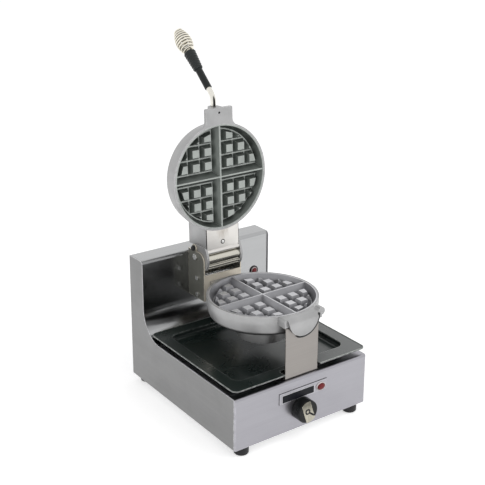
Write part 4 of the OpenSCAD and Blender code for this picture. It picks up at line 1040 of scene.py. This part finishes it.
class WAFFLE_OT_hinge(bpy.types.Operator):
    """Hinge bracket, barrel, neck cover, pin and stop"""

    bl_idname = "waffle.hinge"
    bl_label = "Hinge"

    # Radius and height of each step, in millimetres
    dome = ((3.0, 0), (2.9, 0.10), (2.3, 0.20), (1.2, 0.26), (0.05, 0.28))
    slot_scale = (7 * MM, 0.9 * MM, 0.3 * MM)
    slot_turn = 0.9

    def execute(self, context):
        edge = sizes().small_edge
        refine("hinge_bracket", sizes().sheet_edge, "bracket_steel")
        refine("hinge_barrel", sizes().sheet_edge, "barrel_steel")
        refine("neck_cover", sizes().sheet_edge, "cover_steel")
        self.cover_edge_shadows()
        refine("lid_stop", edge * 2, "foot_rubber")
        for node in ("hinge_pin", "hinge_pin_clip", "bracket_spacers", "bracket_side_bolts",
                     "bracket_tower_bolts"):
            refine(node, edge, "screw_metal")
        refine("neck_screw", edge, "dark_screw")
        self.screw_dome()
        return {"FINISHED"}

    def screw_dome(self):
        """Bright middle of the neck screw, slightly domed, with a slot."""
        low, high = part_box("neck_screw")
        place = axis_frame(((low.x + high.x) / 2, low.y + 0.05 * MM, (low.z + high.z) / 2), LID_FACING)
        dome = turned("neck_screw_dome", [(radius * MM, height * MM) for radius, height in self.dome], 32)
        slot = start(bpy.ops.mesh.primitive_cube_add, "slot", (0, 0, 0.3 * MM), self.slot_scale,
                     (0, 0, self.slot_turn))
        cut(dome, slot)
        dome.data.transform(place)
        round_edges(dome, 0.03 * MM, 2)
        give(dome, body_of("neck_screw"), "screw_metal", "screw_metal")

    def cover_edge_shadows(self):
        """Dark strips down both edges of the neck cover that paint the shadow of its edges."""
        low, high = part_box("neck_cover")
        width = sizes().seam
        top = high.z - 1 * MM
        foot = low.z + 9 * MM
        middle = Vector((0, low.y + 3.9 * MM, (foot + top) / 2))
        lean = Matrix.Rotation(math.pi / 2 - open_angle(), 4, "X")
        for name, side in (("cover_shadow_left", low.x - width / 2), ("cover_shadow_right", high.x + width / 2)):
            seam = start(bpy.ops.mesh.primitive_cube_add, name, (side, 0, 0), (width, 0.8 * MM, top - foot))
            seam.data.transform(Matrix.Translation(middle) @ lean)
            round_edges(seam, 0.2 * MM, 2)
            give(seam, body_of("neck_cover"), "foot_rubber", "foot_rubber")


class WAFFLE_OT_handle(bpy.types.Operator):
    """Bent rod with a sleeve, a ringed grip and a wire coil"""

    bl_idname = "waffle.handle"
    bl_label = "Handle"

    def execute(self, context):
        edge = sizes().small_edge
        dress("handle_rod", "handle_chrome")
        dress("handle_coil", "coil_chrome")
        refine("handle_grip", edge, "grip_black", "handle_black")
        refine("handle_sleeve", edge, "handle_black")
        refine("handle_set_screw", edge, "dark_screw")
        return {"FINISHED"}


class WAFFLE_OT_fittings(bpy.types.Operator):
    """Knob, lamps and nameplate"""

    bl_idname = "waffle.fittings"
    bl_label = "Fittings"

    # Radius of each step as a share of the piece's own, and height in millimetres
    bar_steps = ((1, -1.4), (1, 0.3), (0.97, 0.6), (0.62, 0.6), (0.58, 0.3), (0.40, 0.3), (0.36, 0.6))
    lens_steps = ((1.0, 0.2), (1.0, 1.9), (0.90, 2.9), (0.62, 3.6), (0.30, 3.9), (0.02, 4.0))
    ring_steps = ((1.0, 0.0), (1.0, 1.3), (0.96, 1.9), (0.90, 2.1), (0.84, 1.7), (0.80, 1.0), (0.05, 1.0))
    bar_half_width = 0.46
    pointer_scale = 1.6

    def execute(self, context):
        self.knob()
        self.nameplate()
        width, height = sizes().lens_width, sizes().lens_height
        self.lamp("front_lamp", width, height, "bezel_pale", 1.7 * MM)
        self.lamp("tower_lamp", height, height, "bezel_black", 3.6 * MM, pale_ring=True)
        return {"FINISHED"}

    def knob(self):
        """Knob with a metal bar across its face and a pointer, all turned a little from upright."""
        edge = sizes().small_edge
        low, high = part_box("knob")
        middle = (low + high) / 2
        spin = Matrix.Rotation(-sizes().knob_turn, 4, "Y")
        turn = Matrix.Translation(middle) @ spin @ Matrix.Translation(-middle)
        refine("knob", edge * 2, "knob_black").data.transform(turn)
        bar = self.bar(Vector((middle.x, low.y, middle.z)), (high.x - low.x) / 2)
        bar.data.transform(turn)
        give(bar, body_of("knob_insert"), "insert_metal", "insert_metal", "knob_insert")
        pointer = refine("knob_pointer", edge * 0.6, "nameplate_black")
        centre = centre_of("knob_pointer")
        lift = Matrix.Translation((0, -0.9 * MM, 0))
        larger = Matrix.Diagonal((self.pointer_scale, 1.0, self.pointer_scale, 1.0))
        grown = turn @ lift @ Matrix.Translation(centre) @ larger
        pointer.data.transform(grown @ Matrix.Translation(-centre))

    def bar(self, face, radius):
        """Ridged metal bar from edge to edge of the knob's face, rounded as the knob is."""
        reach = radius - 0.6 * MM
        steps = [(reach * share, height * MM) for share, height in self.bar_steps]
        bar = turned("knob_bar", [*steps, (0.05 * MM, 0.6 * MM)], 64)
        with edited(bar):
            for side in (1, -1):
                bpy.ops.mesh.select_all(action="SELECT")
                bpy.ops.mesh.bisect(plane_co=(side * self.bar_half_width * radius, 0, 0),
                                    plane_no=(side, 0, 0), use_fill=True, clear_outer=True)
        recalculate(bar)
        bar.data.transform(axis_frame(face, FRONT_FACING))
        round_edges(bar, 0.15 * MM, 2)
        return bar

    def nameplate(self):
        """Bare black nameplate in a pale border on a bright plate, with a dark outline behind the plate that
        paints its shadow line.
        """
        refine("backing_plate", sizes().small_edge, "plate_steel")
        refine("nameplate", sizes().small_edge * 0.6, "nameplate_black")
        low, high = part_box("nameplate")
        self.framed("nameplate_border", low, high, sizes().border, "border_steel", "plate_steel")
        low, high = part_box("backing_plate")
        shift = Vector((-0.4 * MM, 0, 0.4 * MM))
        line = sizes().seam * 0.45
        self.framed("plate_shadow_outline", low + shift, high + shift, line, "foot_rubber", "foot_rubber")

    def framed(self, name, low, high, width, material, slot):
        """Rectangular frame round a plate, standing on what the plate stands on."""
        thickness = 0.5 * MM
        scale = (high.x - low.x + 2 * width, high.z - low.z + 2 * width, 1.0)
        place = ((low.x + high.x) / 2, high.y, (low.z + high.z) / 2)
        border = start(bpy.ops.mesh.primitive_plane_add, name, place, scale, (math.pi / 2, 0, 0))
        with edited(border):
            bpy.ops.mesh.inset(thickness=width)
            bpy.ops.mesh.delete(type="FACE")
        thicken(border, thickness)
        round_edges(border, min(width, thickness) * 0.25, 2)
        give(border, body_of("backing_plate"), material, slot)

    def lamp(self, name, width, height, material, ring, pale_ring=False):
        """Faceted red lens in a dished bezel."""
        low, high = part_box(name + "_bezel")
        place = axis_frame(((low.x + high.x) / 2, high.y, (low.z + high.z) / 2), FRONT_FACING)
        lens = turned(name + "_jewel", [(radius, rise * MM) for radius, rise in self.lens_steps], 10)
        lens.data.transform(place @ Matrix.Diagonal((width / 2, height / 2, 1.0, 1.0)))
        give(lens, body_of(name + "_lens"), "lamp_red", "lamp_red", name + "_lens")
        self.ring(name + "_ring", place, width, height, ring, material, name + "_bezel")
        if pale_ring:
            forward = Matrix.Translation((0, 0, 0.7 * MM))
            self.ring(name + "_inner_ring", place @ forward, width, height, 0.75 * MM, "bezel_pale")

    def ring(self, name, place, width, height, wall, material, *nodes):
        """Oval ring with a rounded outer wall and a dished front."""
        ring = turned(name, [(radius, rise * MM) for radius, rise in self.ring_steps])
        wide = width / 2 * (1.0 + 2 * wall / width)
        tall = height / 2 * (1.0 + 2 * wall / height)
        ring.data.transform(place @ Matrix.Diagonal((wide, tall, 1.0, 1.0)))
        pick(ring)
        bpy.ops.object.shade_smooth_by_angle(angle=math.radians(40))
        give(ring, body_of("front_lamp_bezel"), material, material, *nodes)


class WAFFLE_OT_feet(bpy.types.Operator):
    """Rubber feet and the gland at the back"""

    bl_idname = "waffle.feet"
    bl_label = "Feet and Gland"

    def execute(self, context):
        edge = sizes().small_edge
        refine("feet", edge * 4, "foot_rubber")
        refine("cord_gland", edge * 2, "foot_rubber")
        refine("rear_cover_screws", edge, "screw_metal")
        dress("foot_screws", "screw_metal")
        return {"FINISHED"}


INNER = {
    "screw_metal": ("lower_grid_screws", "upper_grid_screws", "lower_cover_screws", "upper_cover_screws",
                    "thermostat_shaft", "thermostat_nut"),
    "element_metal": ("lower_element", "upper_element"),
    "insulation": ("lower_insulation", "upper_insulation"),
    "lead_sleeve": ("lid_leads", "base_wires"),
    "thermostat_case": ("thermostat",),
    "copper": ("capillary_bulb",),
    "block_white": ("terminal_block",),
}


class WAFFLE_OT_inner_parts(bpy.types.Operator):
    """Finishes of the parts inside"""

    bl_idname = "waffle.inner_parts"
    bl_label = "Inner Parts"

    def execute(self, context):
        for material, nodes in INNER.items():
            for node in nodes:
                dress(node, material)
        return {"FINISHED"}


class WAFFLE_OT_stage(bpy.types.Operator):
    """Plain floor, soft light and the camera"""

    bl_idname = "waffle.stage"
    bl_label = "Stage"

    def execute(self, context):
        context.scene.view_settings.view_transform = "Standard"
        self.lay_floor()
        self.light(context.scene)
        self.place_camera(context.scene)
        return {"FINISHED"}

    def lay_floor(self):
        """Pale floor that shows white to the camera and in gloss, and keeps the shadow."""
        deselect()
        bpy.ops.mesh.primitive_plane_add(size=40.0, location=(0, 0, -0.2 * MM))
        floor = settle(bpy.context.object, "floor")
        material = bpy.data.materials.new("floor_paper")
        material.use_nodes = True
        nodes = Nodes(material.node_tree)
        paper = material.node_tree.nodes["Principled BSDF"].inputs
        white = nodes.remap(self.seen(nodes), 0.0, 1.0, 0.0, stage_settings().floor_white)
        for socket, value in (("Base Color", stage_settings().floor), ("Roughness", 0.9),
                              ("Emission Color", (1.0, 1.0, 1.0)), ("Emission Strength", white)):
            nodes.fill(paper[socket], value)
        floor.data.materials.append(material)

    def seen(self, nodes):
        """1 for what is seen straight on, in gloss or through glass, and 0 for light that falls on things."""
        path = nodes.add("LightPath").outputs
        straight = nodes.maths("MAXIMUM", path["Is Camera Ray"], path["Is Glossy Ray"])
        return nodes.maths("MAXIMUM", straight, path["Is Transmission Ray"])

    def light(self, scene):
        """White surroundings, one large soft light and a weaker one from the other side."""
        world = bpy.data.worlds.new("surroundings")
        scene.world = world
        world.use_nodes = True
        nodes = Nodes(world.node_tree)
        background = world.node_tree.nodes["Background"].inputs
        nodes.fill(background["Color"], (1.0, 1.0, 1.0))
        strength = nodes.remap(self.seen(nodes), 0.0, 1.0, stage_settings().sky, 1.0)
        nodes.fill(background["Strength"], strength)
        self.area("key_light", (1.1, -1.8, 2.4), 3.2, stage_settings().key_power)
        self.area("fill_light", (-2.4, -0.8, 1.6), 2.6, stage_settings().fill_power)

    def area(self, name, place, size, power):
        """Square soft light that looks at the middle of the object."""
        lamp = bpy.data.lights.new(name, "AREA")
        lamp.size = size
        lamp.energy = power
        holder = bpy.data.objects.new(name, lamp)
        holder.location = place
        middle = (CAD_BOX[0] + CAD_BOX[1]) / 2
        holder.rotation_euler = (middle - Vector(place)).to_track_quat("-Z", "Y").to_euler()
        holder.visible_glossy = False
        bpy.context.scene.collection.objects.link(holder)

    def place_camera(self, scene):
        """Camera in front, to the left and above."""
        settings = stage_settings()
        turn, tilt = math.radians(settings.azimuth), math.radians(settings.elevation)
        forward = Vector((-math.sin(turn) * math.cos(tilt), math.cos(turn) * math.cos(tilt), -math.sin(tilt)))
        camera = bpy.data.cameras.new("camera")
        camera.sensor_width = 36.0
        camera.lens = settings.lens
        camera.shift_x, camera.shift_y = settings.shift
        holder = bpy.data.objects.new("camera", camera)
        middle_y = (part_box("left_side_panel")[0].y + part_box("rear_cover")[1].y) / 2
        holder.location = Vector(settings.view_from) + Vector((0, middle_y, 0))
        holder.rotation_mode = "QUATERNION"
        holder.rotation_quaternion = forward.to_track_quat("-Z", "Y")
        scene.collection.objects.link(holder)
        scene.camera = holder


class WAFFLE_PT_maker(bpy.types.Panel):
    """Sidebar panel that lists the steps, sizes and colours"""

    bl_label = "Waffle Maker"
    bl_idname = "WAFFLE_PT_maker"
    bl_space_type = "VIEW_3D"
    bl_region_type = "UI"
    bl_category = "Waffle Maker"

    def draw(self, context):
        steps = self.layout.column(align=True)
        for step in STEPS:
            steps.operator(step.bl_idname)
        for settings in (sizes(), colours(), stage_settings()):
            box = self.layout.box()
            for name in settings.__annotations__:
                box.prop(settings, name)


GROUPS = (WaffleSizes, WaffleColours, WaffleStage)
STEPS = (
    WAFFLE_OT_stage, WAFFLE_OT_sheet_metal, WAFFLE_OT_drip_tray, WAFFLE_OT_strap, WAFFLE_OT_castings,
    WAFFLE_OT_grids, WAFFLE_OT_hinge, WAFFLE_OT_handle, WAFFLE_OT_fittings, WAFFLE_OT_feet,
    WAFFLE_OT_inner_parts,
)


def register():
    """Registers the settings, the steps and the panel."""
    for made in (*GROUPS, *STEPS, WAFFLE_PT_maker):
        bpy.utils.register_class(made)
    bpy.types.Scene.waffle_sizes = PointerProperty(type=WaffleSizes)
    bpy.types.Scene.waffle_colours = PointerProperty(type=WaffleColours)
    bpy.types.Scene.waffle_stage = PointerProperty(type=WaffleStage)


def unregister():
    """Takes the panel, the steps and the settings away again."""
    del bpy.types.Scene.waffle_stage
    del bpy.types.Scene.waffle_colours
    del bpy.types.Scene.waffle_sizes
    for made in reversed((*GROUPS, *STEPS, WAFFLE_PT_maker)):
        bpy.utils.unregister_class(made)


def main():
    """Runs every step."""
    register()
    make_effects()
    for step in STEPS:
        family, name = step.bl_idname.split(".")
        getattr(getattr(bpy.ops, family), name)()


if __name__ == "__main__":
    main()
